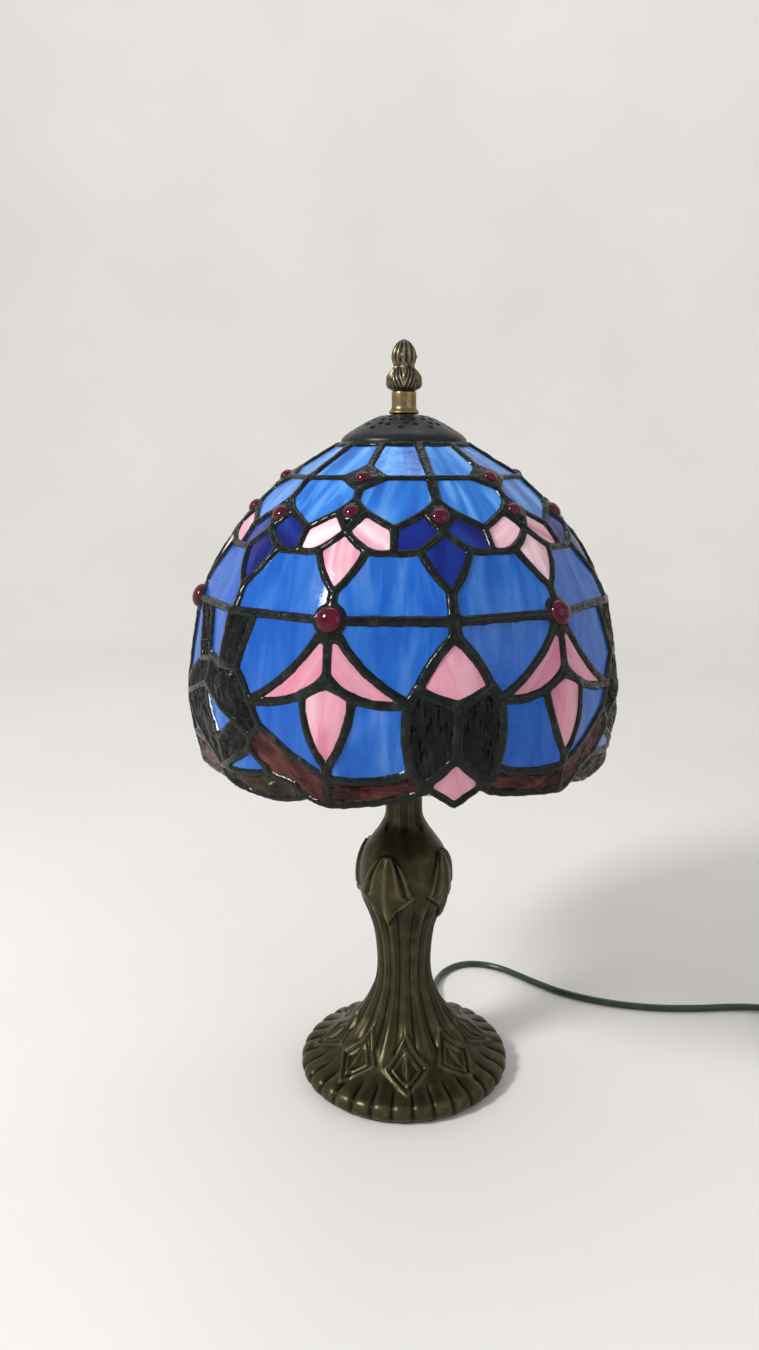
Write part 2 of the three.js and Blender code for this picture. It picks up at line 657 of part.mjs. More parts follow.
/** In-line rocker switch. */
function buildSwitch() {
  const split = SWITCH_SPLIT;
  piece('switch_bottom', switchShell(GAP, split - GAP / 2, 2.2, split + 1), SWITCH_BLACK);
  const window = block([SWITCH_X - 4.6, switchMiddle - 8.9, 9], [SWITCH_X + 4.6, switchMiddle + 8.9, SWITCH_HIGH + 1]);
  const top = switchShell(split + GAP / 2, SWITCH_HIGH, split - 1, SWITCH_HIGH - 2);
  piece('switch_top', top.subtract(solid(window)), SWITCH_BLACK);
  const profile = [
    [-6.8, 9.8], [6.8, 9.8], [7.0, 13.4], [6.4, 14.4], [0, 16.0], [-6.4, 17.6], [-7.0, 16.8],
  ];
  const rocker = prism(profile, -4.1, 4.1);
  rocker.rotateX(Math.PI / 2);
  rocker.rotateZ(Math.PI / 2);
  rocker.translate(SWITCH_X, switchMiddle, 0);
  piece('switch_rocker', rocker, SWITCH_BLACK);
}

/** Flat two-blade plug. */
function buildPlug() {
  const [rear, face] = PLUG_Y;
  const outline = [
    [-5, rear], [5, rear], [7, rear + 9], [12, rear + 15], [12, face - 1.5], [10.5, face],
    [-10.5, face], [-12, face - 1.5], [-12, rear + 15], [-7, rear + 9],
  ].map(([x, y]) => [TAIL_X + x, y]);
  piece('plug_body', prism(outline, PLUG_HEIGHT - 6, PLUG_HEIGHT + 6), CORD_GREEN);
  const bladeSides = { left: -6.35, right: 6.35 };
  for (const [side, x] of Object.entries(bladeSides)) {
    const blade = block(
      [TAIL_X + x - 0.75, face + GAP, PLUG_HEIGHT - 3.2], [TAIL_X + x + 0.75, face + 16.5, PLUG_HEIGHT + 3.2],
    );
    piece(`plug_blade_${side}`, blade, STEEL);
  }
}

/** Cord, coil, switch and plug. */
function buildCord() {
  piece('cord_lead', rodAlong(LEAD_ROUTE, CORD, 40), CORD_GREEN);
  piece('cord_link', rodAlong(LINK_ROUTE, CORD, 2), CORD_GREEN);
  piece('cord_coil', cordCoil(), CORD_GREEN);
  piece('cord_tail', rodAlong(TAIL_ROUTE, CORD, 2), CORD_GREEN);
  buildSwitch();
  buildPlug();
}

buildShade();
buildCrown();
buildStand();
buildHarp();
buildHolder();
buildBulb();
buildCord();

export default lamp;
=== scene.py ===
# Small stained-glass table lamp. Work is in millimetres and bearings, as in the frame:
# a bearing runs from -Y (the front) towards +X, in degrees. Meshes are written in metres.

import math
import random

import bmesh
import bpy
import numpy as np
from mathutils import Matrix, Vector, noise


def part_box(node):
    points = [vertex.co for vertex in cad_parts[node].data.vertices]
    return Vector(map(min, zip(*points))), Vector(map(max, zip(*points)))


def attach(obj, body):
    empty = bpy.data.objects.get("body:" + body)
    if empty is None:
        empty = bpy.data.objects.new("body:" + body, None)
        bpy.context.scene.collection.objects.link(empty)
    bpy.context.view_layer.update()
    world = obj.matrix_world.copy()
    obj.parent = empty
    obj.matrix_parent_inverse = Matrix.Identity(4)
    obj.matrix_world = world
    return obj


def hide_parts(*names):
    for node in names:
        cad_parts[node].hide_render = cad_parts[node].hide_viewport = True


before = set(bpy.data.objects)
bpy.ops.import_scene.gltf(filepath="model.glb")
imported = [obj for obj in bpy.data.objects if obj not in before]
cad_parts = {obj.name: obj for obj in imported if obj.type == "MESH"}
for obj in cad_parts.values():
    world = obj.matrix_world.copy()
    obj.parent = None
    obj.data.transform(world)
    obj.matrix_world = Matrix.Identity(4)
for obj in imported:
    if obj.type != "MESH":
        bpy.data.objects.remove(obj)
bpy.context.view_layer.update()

MM = 0.001
SCENE = bpy.context.scene


# ---- small helpers -----------------------------------------------------------

def on_bearing(bearing, radius, height):
    """Point in millimetres at a bearing, a distance from the lamp's axis and a height."""
    angle = math.radians(bearing)
    return (radius * math.sin(angle), -radius * math.cos(angle), height)


def smoothstep(low, high, value):
    """0 below low, 1 above high, smooth between."""
    t = np.clip((np.asarray(value, float) - low) / (high - low), 0, 1)
    return t * t * (3 - 2 * t)


def mesh_object(name, points, faces, material, smooth=True):
    """Mesh object from points in millimetres."""
    mesh = bpy.data.meshes.new(name)
    mesh.from_pydata([tuple(c * MM for c in p) for p in points], [], faces)
    mesh.update()
    for polygon in mesh.polygons:
        polygon.use_smooth = smooth
    obj = bpy.data.objects.new(name, mesh)
    SCENE.collection.objects.link(obj)
    mesh.materials.append(material)
    return obj


def crease(obj, angle=40):
    """Keeps edges sharper than an angle, and smooths the rest."""
    obj.data.set_sharp_from_angle(angle=math.radians(angle))
    return obj


def catmull(points, per_span, closed=False):
    """Smooth line through points, with per_span steps between each two."""
    points = [np.array(p, float) for p in points]
    count = len(points)
    spans = count if closed else count - 1
    line = []
    for i in range(spans):
        p1 = points[i]
        p2 = points[(i + 1) % count]
        p0 = points[i - 1] if (closed or i) else 2 * p1 - p2
        p3 = points[(i + 2) % count] if (closed or i + 2 < count) else 2 * p2 - p1
        for k in range(per_span):
            t = k / per_span
            line.append(0.5 * (2 * p1 + (p2 - p0) * t + (2 * p0 - 5 * p1 + 4 * p2 - p3) * t ** 2
                               + (3 * p1 - p0 - 3 * p2 + p3) * t ** 3))
    if not closed:
        line.append(points[-1])
    return np.array(line)


def turned(name, profile, material, segments=96, rounds=3, closed=True):
    """Turned piece from a profile of (radius, height) points, its corners rounded by Chaikin cuts."""
    line = [np.array(p, float) for p in profile]
    for _ in range(rounds):
        cut = []
        count = len(line)
        for i in range(count if closed else count - 1):
            a = line[i]
            b = line[(i + 1) % count]
            cut += [a * 0.8 + b * 0.2, a * 0.2 + b * 0.8]
        line = cut if closed else [line[0]] + cut + [line[-1]]
    points = []
    rows = len(line)
    for k in range(segments):
        points += [on_bearing(360 * k / segments, max(r, 0.0), z) for r, z in line]
    faces = []
    for k in range(segments):
        a = k * rows
        b = (k + 1) % segments * rows
        for i in range(rows if closed else rows - 1):
            j = (i + 1) % rows
            faces.append((a + i, b + i, b + j, a + j))
    obj = mesh_object(name, points, faces, material)
    tidy(obj)
    return obj


def tidy(obj):
    """Joins doubled points and turns every face outwards."""
    work = bmesh.new()
    work.from_mesh(obj.data)
    bmesh.ops.remove_doubles(work, verts=work.verts, dist=0.00001)
    bmesh.ops.recalc_face_normals(work, faces=work.faces)
    for face in work.faces:
        face.smooth = True
    work.to_mesh(obj.data)
    work.free()


# ---- camera --------------------------------------------------------------------

CAMERA_AT = (0.0, -479.0, 313.6)
CAMERA_DOWN = 12.3
LENS = 27.04
LENS_SHIFT = -0.01815


def make_camera():
    data = bpy.data.cameras.new("camera")
    data.lens = LENS
    data.sensor_fit = "AUTO"
    data.sensor_width = 36
    data.shift_x = LENS_SHIFT
    data.clip_start = 0.01
    camera = bpy.data.objects.new("camera", data)
    camera.location = [c * MM for c in CAMERA_AT]
    camera.rotation_euler = (math.radians(90 - CAMERA_DOWN), 0, 0)
    SCENE.collection.objects.link(camera)
    SCENE.camera = camera


make_camera()


# ---- materials -----------------------------------------------------------------

class Paint:
    """Node material with one Principled shader, and short calls that add nodes to it."""

    def __init__(self, name, base=(0.5, 0.5, 0.5), metallic=0.0, roughness=0.4, **sockets):
        self.material = bpy.data.materials.new(name)
        self.material.use_nodes = True
        self.tree = self.material.node_tree
        self.shader = self.tree.nodes["Principled BSDF"]
        self.put("Base Color", (*base, 1))
        self.put("Metallic", metallic)
        self.put("Roughness", roughness)
        for socket, value in sockets.items():
            self.put(socket.replace("_", " "), value)
        self.material.diffuse_color = (*base, 1)

    def put(self, socket, value):
        self.shader.inputs[socket].default_value = value

    def node(self, kind, **values):
        node = self.tree.nodes.new(kind)
        for key, value in values.items():
            if hasattr(node, key):
                setattr(node, key, value)
            else:
                node.inputs[key.replace("_", " ")].default_value = value
        return node

    def link(self, source, target):
        self.tree.links.new(source, target)

    def coords(self, scale=(1, 1, 1), attribute=None):
        """Object coordinates in metres, or a stored attribute in millimetres, scaled."""
        if attribute:
            source = self.node("ShaderNodeAttribute", attribute_name=attribute).outputs["Vector"]
        else:
            source = self.node("ShaderNodeTexCoord").outputs["Object"]
        mapping = self.node("ShaderNodeMapping")
        mapping.inputs["Scale"].default_value = scale
        self.link(source, mapping.inputs["Vector"])
        return mapping.outputs["Vector"]

    def noise(self, vector, scale, detail=3.0, roughness=0.5, distortion=0.0):
        node = self.node("ShaderNodeTexNoise", Scale=scale, Detail=detail, Roughness=roughness,
                         Distortion=distortion)
        self.link(vector, node.inputs["Vector"])
        return node.outputs["Fac"]

    def ramp(self, factor, stops):
        node = self.node("ShaderNodeValToRGB")
        elements = node.color_ramp.elements
        while len(elements) < len(stops):
            elements.new(0.5)
        for element, (place, color) in zip(elements, stops):
            element.position = place
            element.color = (*color, 1) if len(color) == 3 else color
        self.link(factor, node.inputs["Fac"])
        return node.outputs["Color"]

    def mix(self, factor, a, b, blend="MIX"):
        node = self.node("ShaderNodeMix", data_type="RGBA", blend_type=blend)
        for value, socket in ((factor, node.inputs[0]), (a, node.inputs[6]), (b, node.inputs[7])):
            if isinstance(value, (int, float)):
                socket.default_value = value
            elif isinstance(value, tuple):
                socket.default_value = (*value, 1)
            else:
                self.link(value, socket)
        return node.outputs[2]

    def math(self, operation, a, b=0.0):
        node = self.node("ShaderNodeMath", operation=operation)
        for value, socket in ((a, node.inputs[0]), (b, node.inputs[1])):
            if isinstance(value, (int, float)):
                socket.default_value = value
            else:
                self.link(value, socket)
        return node.outputs[0]

    def spread(self, factor, low, high):
        node = self.node("ShaderNodeMapRange")
        node.inputs["To Min"].default_value = low
        node.inputs["To Max"].default_value = high
        self.link(factor, node.inputs["Value"])
        return node.outputs["Result"]

    def bump(self, height, strength, distance):
        node = self.node("ShaderNodeBump", Strength=strength, Distance=distance)
        self.link(height, node.inputs["Height"])
        last = self.shader.inputs["Normal"].links
        if last:
            self.link(last[0].from_socket, node.inputs["Normal"])
        self.link(node.outputs["Normal"], self.shader.inputs["Normal"])

    def color(self, output):
        self.link(output, self.shader.inputs["Base Color"])

    def rough(self, output):
        self.link(output, self.shader.inputs["Roughness"])


def opal_glass(name, deep, mid, pale, veil, clear=0.25):
    """Streaky opalescent glass: colour drifts in long streaks that follow each piece's grain."""
    paint = Paint(name, mid, roughness=0.16, Coat_Weight=0.16, Coat_Roughness=0.05,
                  Specular_IOR_Level=0.16)
    grain = paint.coords((1, 1, 1), "grain")
    streaks = paint.coords((0.11, 0.022, 0.05), "grain")
    wide = paint.noise(streaks, 1.0, 3, 0.55, 0.6)
    fine = paint.noise(paint.coords((0.6, 0.07, 0.2), "grain"), 1.0, 2, 0.5, 0.4)
    tint = paint.ramp(wide, [(0.33, deep), (0.46, mid), (0.58, pale), (0.72, veil)])
    tint = paint.mix(paint.spread(fine, 0.0, 0.35), tint, pale)
    # This attribute deepens each piece towards its deep colour: partly a random tone per piece, partly
    # painted shade that makes lower pieces deeper.
    tone = paint.node("ShaderNodeAttribute", attribute_name="tone").outputs["Fac"]
    tint = paint.mix(paint.spread(tone, 0.0, clear), tint, deep)
    paint.color(tint)
    paint.rough(paint.spread(paint.noise(grain, 0.4, 2), 0.10, 0.24))
    paint.bump(paint.noise(grain, 0.16, 2, 0.4), 0.35, 0.0012)
    paint.bump(paint.noise(grain, 0.9, 2, 0.4), 0.06, 0.0006)
    return paint.material


def ripple_glass(name, dark, mid, light):
    """Dark rippled glass like bark, its ridges along each piece's grain."""
    paint = Paint(name, mid, roughness=0.16, Coat_Weight=0.2, Coat_Roughness=0.03,
                  Specular_IOR_Level=0.06)
    body = paint.noise(paint.coords((0.16, 0.05, 0.1), "grain"), 1.0, 3, 0.6, 0.5)
    tint = paint.ramp(body, [(0.32, dark), (0.5, mid), (0.7, light)])
    ridge = paint.noise(paint.coords((1.0, 0.22, 0.3), "grain"), 1.0, 4, 0.65, 1.2)
    tint = paint.mix(paint.spread(ridge, 0.0, 0.5), tint, dark)
    paint.color(tint)
    paint.rough(paint.spread(ridge, 0.08, 0.24))
    paint.bump(ridge, 0.7, 0.0011)
    return paint.material


def jewel_glass(name):
    paint = Paint(name, (0.05, 0.001, 0.010), roughness=0.05, Coat_Weight=0.2, Coat_Roughness=0.02,
                  Specular_IOR_Level=0.2)
    swirl = paint.noise(paint.coords((1, 1, 1)), 260, 3, 0.5, 0.8)
    paint.color(paint.ramp(swirl, [(0.3, (0.022, 0.0003, 0.005)), (0.7, (0.10, 0.001, 0.018))]))
    return paint.material


def solder_metal(name):
    """Patinated solder: near-black green with a wet gloss."""
    paint = Paint(name, (0.006, 0.009, 0.008), metallic=0.15, roughness=0.24, Coat_Weight=0.3,
                  Coat_Roughness=0.03, Specular_IOR_Level=0.06)
    place = paint.coords((1, 1, 1))
    patch = paint.noise(place, 170, 4, 0.6)
    paint.color(paint.ramp(patch, [(0.3, (0.002, 0.0035, 0.003)), (0.55, (0.005, 0.008, 0.007)),
                                   (0.8, (0.03, 0.037, 0.032))]))
    paint.rough(paint.spread(paint.noise(place, 420, 3), 0.16, 0.42))
    paint.bump(paint.noise(place, 330, 3, 0.55), 0.7, 0.0009)
    return paint.material


def worn_metal(name, dark, mid, bright, metallic=0.85, rough=(0.28, 0.5), grain=160, bump=0.15,
               relief=False):
    """Cast or plated metal: darker in the hollows, brighter on the edges."""
    paint = Paint(name, mid, metallic=metallic, roughness=sum(rough) / 2, Specular_IOR_Level=0.15)
    place = paint.coords((1, 1, 1))
    patch = paint.noise(place, grain, 5, 0.6)
    tint = paint.ramp(patch, [(0.28, dark), (0.5, mid), (0.76, bright)])
    pointy = paint.node("ShaderNodeNewGeometry").outputs["Pointiness"]
    edge = paint.ramp(pointy, [(0.46, (0, 0, 0)), (0.56, (1, 1, 1))])
    tint = paint.mix(edge, paint.mix(0.65, tint, dark), paint.mix(0.55, tint, bright))
    if relief:
        raised = paint.node("ShaderNodeAttribute", attribute_name="relief").outputs["Fac"]
        tint = paint.mix(paint.ramp(raised, [(0.05, (1, 1, 1)), (0.42, (0, 0, 0))]), tint, dark)
        tint = paint.mix(paint.ramp(raised, [(0.7, (0, 0, 0)), (1, (0.8, 0.8, 0.8))]), tint, bright)
    paint.color(tint)
    paint.rough(paint.spread(paint.noise(place, grain * 2.5, 3), *rough))
    paint.bump(paint.noise(place, grain * 5, 3), bump, 0.0003)
    return paint.material


def plain_stuff(name, base, roughness, metallic=0.0, grain=900, vary=0.25, bump=0.1, **sockets):
    """Moulded, turned or pressed stuff with a faint grain."""
    paint = Paint(name, base, metallic=metallic, roughness=roughness, **sockets)
    place = paint.coords((1, 1, 1))
    shade = paint.noise(place, grain * 0.3, 4)
    dark = tuple(c * (1 - vary) for c in base)
    light = tuple(min(1, c * (1 + vary)) for c in base)
    paint.color(paint.ramp(shade, [(0.3, dark), (0.7, light)]))
    paint.rough(paint.spread(paint.noise(place, grain, 2), roughness * 0.8, min(1, roughness * 1.25)))
    paint.bump(paint.noise(place, grain, 3), bump, 0.0002)
    return paint.material


SKY = opal_glass("sky_glass", (0.002, 0.062, 0.36), (0.018, 0.175, 0.60), (0.10, 0.34, 0.80),
                 (0.28, 0.52, 0.90), 0.9)
PINK = opal_glass("pink_glass", (0.50, 0.14, 0.24), (0.72, 0.38, 0.47), (0.81, 0.60, 0.66),
                  (0.88, 0.79, 0.82), 0.75)
COBALT = opal_glass("cobalt_glass", (0.001, 0.004, 0.07), (0.002, 0.008, 0.13),
                    (0.004, 0.022, 0.24), (0.01, 0.06, 0.36), 0.3)
BARK = ripple_glass("bark_glass", (0.001, 0.001, 0.0012), (0.0035, 0.0032, 0.0038), (0.015, 0.014, 0.016))
UMBER = ripple_glass("umber_glass", (0.012, 0.003, 0.003), (0.06, 0.015, 0.015), (0.16, 0.055, 0.04))
OLIVE = ripple_glass("olive_glass", (0.008, 0.006, 0.003), (0.03, 0.022, 0.011), (0.075, 0.058, 0.03))
JEWEL = jewel_glass("jewel_glass")
SOLDER = solder_metal("solder")
GUNMETAL = worn_metal("gunmetal", (0.004, 0.0055, 0.006), (0.011, 0.0145, 0.016),
                      (0.04, 0.048, 0.05), 0.6, (0.26, 0.42), 220, 0.1)
BRONZE = worn_metal("bronze", (0.005, 0.0045, 0.0025), (0.028, 0.0255, 0.0135), (0.12, 0.105, 0.05),
                    0.7, (0.26, 0.42), 140, 0.12, relief=True)
BUD_BRASS = worn_metal("bud_brass", (0.008, 0.007, 0.004), (0.085, 0.07, 0.042), (0.30, 0.255, 0.17),
                       0.9, (0.22, 0.36), 300, 0.06, relief=True)
BRASS = worn_metal("antique_brass", (0.03, 0.018, 0.007), (0.20, 0.14, 0.06), (0.46, 0.35, 0.18),
                   0.95, (0.24, 0.42), 300, 0.08)
STEEL = plain_stuff("steel", (0.36, 0.36, 0.35), 0.3, 1.0, 1200, 0.15)
IRON = plain_stuff("iron", (0.06, 0.06, 0.062), 0.6, 0.6, 700, 0.3, 0.3)
FELT = plain_stuff("felt", (0.03, 0.05, 0.035), 0.95, 0.0, 2600, 0.4, 0.8)
RUBBER = plain_stuff("rubber", (0.02, 0.02, 0.02), 0.6, 0.0, 1500, 0.2, 0.15)
LEAD_GREEN = plain_stuff("cord", (0.006, 0.03, 0.02), 0.34, 0.0, 800, 0.3, 0.08, Coat_Weight=0.2)
PORCELAIN = plain_stuff("porcelain", (0.82, 0.80, 0.74), 0.25, 0.0, 500, 0.05, 0.05)
BULB_WHITE = plain_stuff("bulb", (0.9, 0.88, 0.84), 0.3, 0.0, 400, 0.04, 0.03)
SWITCH_BLACK = plain_stuff("switch", (0.012, 0.014, 0.013), 0.42, 0.0, 1500, 0.2, 0.25)


# ---- mains lead ------------------------------------------------------------------

CORD = 3.8
FLOOR_LINE = 2.0
LEAD_EXIT = on_bearing(165, 56.3, 5.4)
LEAD_ROUTE = [
    LEAD_EXIT, (16.2, 60.4, 5.0), (17.3, 66.8, 3.8), (18.6, 75.2, 2.5), (21, 84.4, 2),
    (25.3, 92.8, 2), (32, 99.2, 2), (40.6, 102.2, 2), (50.6, 101, 2), (60.2, 96.2, 2),
    (69.2, 88.6, 2), (79.4, 79.2, 2), (92.2, 69, 2), (108, 60.4, 2), (127, 54, 2),
    (148, 50.6, 2), (170, 50.4, 2), (188, 51.6, 2), (202, 50.2, 2.6), (211.6, 44, 4.2),
    (215.6, 35.4, 5.6), (216, 28.3, 6),
]
SWITCH_RUN = [(216, 18, 6), (216, 8, 6), (216, -2, 6), (216, -12, 6), (216, -24.3, 6)]
LINK_RUN = [(216, -29.5, 5.6), (216, -35, 4.2), (216, -45, 2.6)]
COIL_CENTRE = (246.4, -56.0)
COIL_INNER = 15.2
COIL_OUTER = 30.4
COIL_TURNS = 4
SECOND_LAYER = 5.8
TAIL_RUN = [(276.8, -46, 5.9), (276.7, -34.6, 6), (276.8, -31.5, 6.4), (276.8, -28.3, 6.6)]
STEPS_A_TURN = 24


def coil_points():
    """Turns wound inwards on the floor, one step up, and the same number wound outwards on top."""
    points = []
    total = 2 * COIL_TURNS + 1
    for step in range(1, int((total + 0.5) * STEPS_A_TURN) + 1):
        turn = step / STEPS_A_TURN
        angle = math.pi + 2 * math.pi * turn
        inwards = min(turn, COIL_TURNS) / COIL_TURNS
        outwards = min(max(turn - COIL_TURNS - 1, 0), COIL_TURNS) / COIL_TURNS
        radius = COIL_OUTER - (COIL_OUTER - COIL_INNER) * (inwards - outwards)
        rise = float(smoothstep(COIL_TURNS, COIL_TURNS + 1, turn))
        height = FLOOR_LINE + (SECOND_LAYER - FLOOR_LINE) * rise
        points.append((COIL_CENTRE[0] + radius * math.cos(angle),
                       COIL_CENTRE[1] + radius * math.sin(angle), height))
    return points


def make_lead():
    """The whole lead, foot to plug, as one line."""
    route = catmull(LEAD_ROUTE + SWITCH_RUN + LINK_RUN, 4)
    line = [tuple(p) for p in route] + coil_points()[1:] + [tuple(p) for p in catmull(TAIL_RUN, 4)]
    data = bpy.data.curves.new("mains_lead", "CURVE")
    data.dimensions = "3D"
    data.bevel_depth = CORD / 2 * MM
    data.bevel_resolution = 3
    data.use_fill_caps = True
    spline = data.splines.new("POLY")
    spline.points.add(len(line) - 1)
    for point, place in zip(spline.points, line):
        point.co = (*[c * MM for c in place], 1)
    spline.use_smooth = True
    data.materials.append(LEAD_GREEN)
    lead = bpy.data.objects.new("mains_lead", data)
    SCENE.collection.objects.link(lead)
    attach(lead, "lamp")
    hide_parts("cord_lead", "cord_link", "cord_coil", "cord_tail")
    length = sum(math.dist(a, b) for a, b in zip(line, line[1:])) * MM
    return lead, round(length, 3)


lead, lead_length = make_lead()


# ---- shade: the surface that its pieces lie on --------------------------------------

GLASS = 2.2
FACES = 12
FIRST_SEAM = 12
CREASES = (1, 4)
GLASS_LINE = [
    (31.0, 317.6), (55.0, 303.5), (69.5, 290.0), (83.5, 273.0), (95.5, 250.5), (102.2, 208.0),
    (98.3, 179.5), (96.9, 171.5),
]
ROUNDING = 5.0      # degrees either side over which a seam's corner is rounded


def smooth_line():
    """Seam line from crown to below the hem, curved between its creases: along, radius, height."""
    line = []
    stops = [0, *CREASES, len(GLASS_LINE) - 1]
    for a, b in zip(stops, stops[1:]):
        line += [tuple(p) for p in catmull(GLASS_LINE[a:b + 1], 12)][:-1]
    line.append(GLASS_LINE[-1])
    line = np.array(line)
    along = np.concatenate([[0], np.cumsum(np.hypot(*np.diff(line, axis=0).T))])
    return along, line[:, 0], line[:, 1]


ALONG, LINE_R, LINE_Z = smooth_line()


def along_at(height):
    return float(np.interp(-height, -LINE_Z, ALONG))


def facet_table():
    """Distance from the axis against bearing, for a seam distance of 1, over one face."""
    half = 180 / FACES
    degrees = np.arange(-half, half + 0.01, 0.25)
    flat = math.cos(math.radians(half)) / np.cos(np.radians(degrees))
    count = int(ROUNDING / 0.25)
    ring = np.concatenate([flat[:-1]] * 3)
    kernel = np.ones(2 * count + 1) / (2 * count + 1)
    soft = np.convolve(ring, kernel, "same")[len(flat) - 1:2 * len(flat) - 1]
    return degrees, soft * 0.998


FACET_DEGREES, FACET_R = facet_table()


def facet(bearing):
    step = 360 / FACES
    across = (np.asarray(bearing, float) - FIRST_SEAM) % step - step / 2
    return np.interp(across, FACET_DEGREES, FACET_R)


def on_glass(bearing, along):
    """Points on the glass's outer face."""
    bearing, along = np.broadcast_arrays(np.asarray(bearing, float), np.asarray(along, float))
    last = len(ALONG) - 1
    radius = np.interp(along, ALONG, LINE_R)
    height = np.interp(along, ALONG, LINE_Z)
    before = np.minimum(along, 0)
    over = np.maximum(along - ALONG[last], 0)
    radius = radius + before * 0.86
    height = height - before * 0.5 - over
    distance = radius * facet(bearing)
    angle = np.radians(bearing)
    return np.stack([distance * np.sin(angle), -distance * np.cos(angle), height], -1)


def glass_normal(bearing, along):
    """Outward directions on the glass."""
    step = 0.35
    down = on_glass(bearing, along + step) - on_glass(bearing, along - step)
    turn = on_glass(bearing + step, along) - on_glass(bearing - step, along)
    normal = np.cross(turn, -down)
    return normal / np.linalg.norm(normal, axis=-1, keepdims=True)


# ---- shade: pattern -----------------------------------------------------------------
# A place in the pattern is (u, z): u is the bearing from the heart at the front, z the height.
# The quarter from u = 0 to u = 90 is drawn; mirrored and turned copies make the rest.

QUARTER = 90
HEART = 12          # bearing of u = 0


class Pattern:
    """Cut-glass outlines of one quarter, and the solder lines between them."""

    def __init__(self, bows=None):
        self.pieces = []
        self.lines = {}
        self.bows = bows or {}

    def line(self, a, b, sag=0.0, half_width=1.45):
        """Solder line from a to b, bowed to its right by sag; gives its points."""
        forward = (a, b) <= (b, a)
        first, last, bow = (a, b, sag) if forward else (b, a, -sag)
        bow = self.bows.setdefault((first, last), bow) or bow
        self.bows[(first, last)] = bow
        scale = math.radians(np.interp(-(a[1] + b[1]) / 2, -LINE_Z, LINE_R))
        start = np.array([first[0] * scale, along_at(first[1])])
        end = np.array([last[0] * scale, along_at(last[1])])
        span = end - start
        length = math.hypot(*span)
        side = np.array([-span[1], span[0]]) / max(length, 1e-6)
        count = max(2, int(length / 1.8))
        t = np.linspace(0, 1, count + 1)[:, None]
        flat = start + span * t + side * bow * 4 * t * (1 - t)
        points = np.stack([flat[:, 0] / scale, flat[:, 1]], -1)
        key = (first, last)
        kept = self.lines.get(key)
        width = max(half_width, kept[1]) if kept else half_width
        self.lines[key] = (points, width)
        return points if forward else points[::-1]

    def piece(self, kind, corners, sags=None, half_width=1.45, grain=90.0, axis=None):
        """Piece of glass round its corners, each side with a sag; axis mirrors it into a whole."""
        sags = sags or {}
        count = len(corners)
        outline = []
        for i, corner in enumerate(corners):
            after = corners[(i + 1) % count]
            if axis is not None and i == count - 1:
                break
            outline.append(self.line(corner, after, sags.get(i, 0.0), half_width)[:-1])
        if axis is not None:
            last = corners[-1]
            half = np.concatenate(outline + [np.array([[last[0], along_at(last[1])]])])
            other = half[::-1].copy()
            other[:, 0] = 2 * axis - other[:, 0]
            whole = np.concatenate([half, other[1:-1]])
        else:
            whole = np.concatenate(outline)
        self.pieces.append((kind, whole, grain, axis))


def ring(u):
    return (u, 303.7)


def fold(u):
    return (u, 250.5)


def hem(u):
    return (u, round(float(np.interp(u, HEM_U, HEM_Z)), 3))


# Hem line: scallops between the heart's diamond, the flowers and the bows.
HEM_U = [0, 3, 6, 7.6, 9.6, 13, 18, 24, 30, 33, 36.5, 40, 45, 50, 55, 60, 65, 70, 76, 82, 86, 90]
HEM_Z = [176.4, 179.8, 183.2, 182.2, 180.2, 178.4, 177.2, 176.2, 175.2, 176.2, 177.8, 175.4, 173.8,
         173.8, 174.8, 176.2, 177.8, 176.8, 175.6, 175.0, 175.4, 176.2]

CROWN_Z = 317.6
KITE = 10.0         # degrees that the small jewel's plate reaches to each side
KITE_TOP = 308.4
KITE_LOW = 299.2
TIP_Z = 260.6       # tip of a small flower's lower petal
VALLEY = (15, 284.3)
MEET = (15, 275.6)
HIP = (7.4, 276.2)
THROAT = 283.6      # where a small flower's three petals meet
SHOULDER = (5.0, 290.4)


def small_flower_parts(p, u, side, kind):
    """Side petal of a small flower and its half of the blue panels, on one side."""
    def at(du, z):
        return (u + side * du, z)
    p.piece(kind, [at(*SHOULDER), at(*VALLEY), at(*MEET), at(*HIP), (u, THROAT)],
            {2: side * -0.9, 3: side * -0.5}, 1.5, 35 if side > 0 else 145)


def upper_tiers(p):
    for u in (0, 30, 60):
        kite_left, kite_right = u % 60 == 30, (u + 30) % 60 == 30
        a = KITE if kite_left else 0
        b = KITE if kite_right else 0
        top = [(u, CROWN_Z), (u + 30, CROWN_Z)]
        right = [(u + 30, KITE_TOP), ring(u + 30 - b)] if b else [ring(u + 30)]
        left = [ring(u + a), (u, KITE_TOP)] if a else [ring(u)]
        p.piece("sky", top + right + left, None, 1.25, 88)
        right = [ring(u + 30 - b), (u + 30, KITE_LOW)] if b else [ring(u + 30)]
        left = [(u, KITE_LOW), ring(u + a)] if a else [ring(u)]
        low = [(u + 30, 295.2), (u + 25, 290.4), (u + 15, VALLEY[1]), (u + 5, 290.4), (u, 295.2)]
        p.piece("sky", right + low + left, None, 1.3, 84)
    for u in (0, 30, 60, 90):
        upper, lower = ((u, KITE_TOP), (u, KITE_LOW)) if u % 60 == 30 else (ring(u), ring(u))
        p.line((u, CROWN_Z), upper, 0, 1.6)
        p.line(lower, (u, 295.2), 0, 1.7)


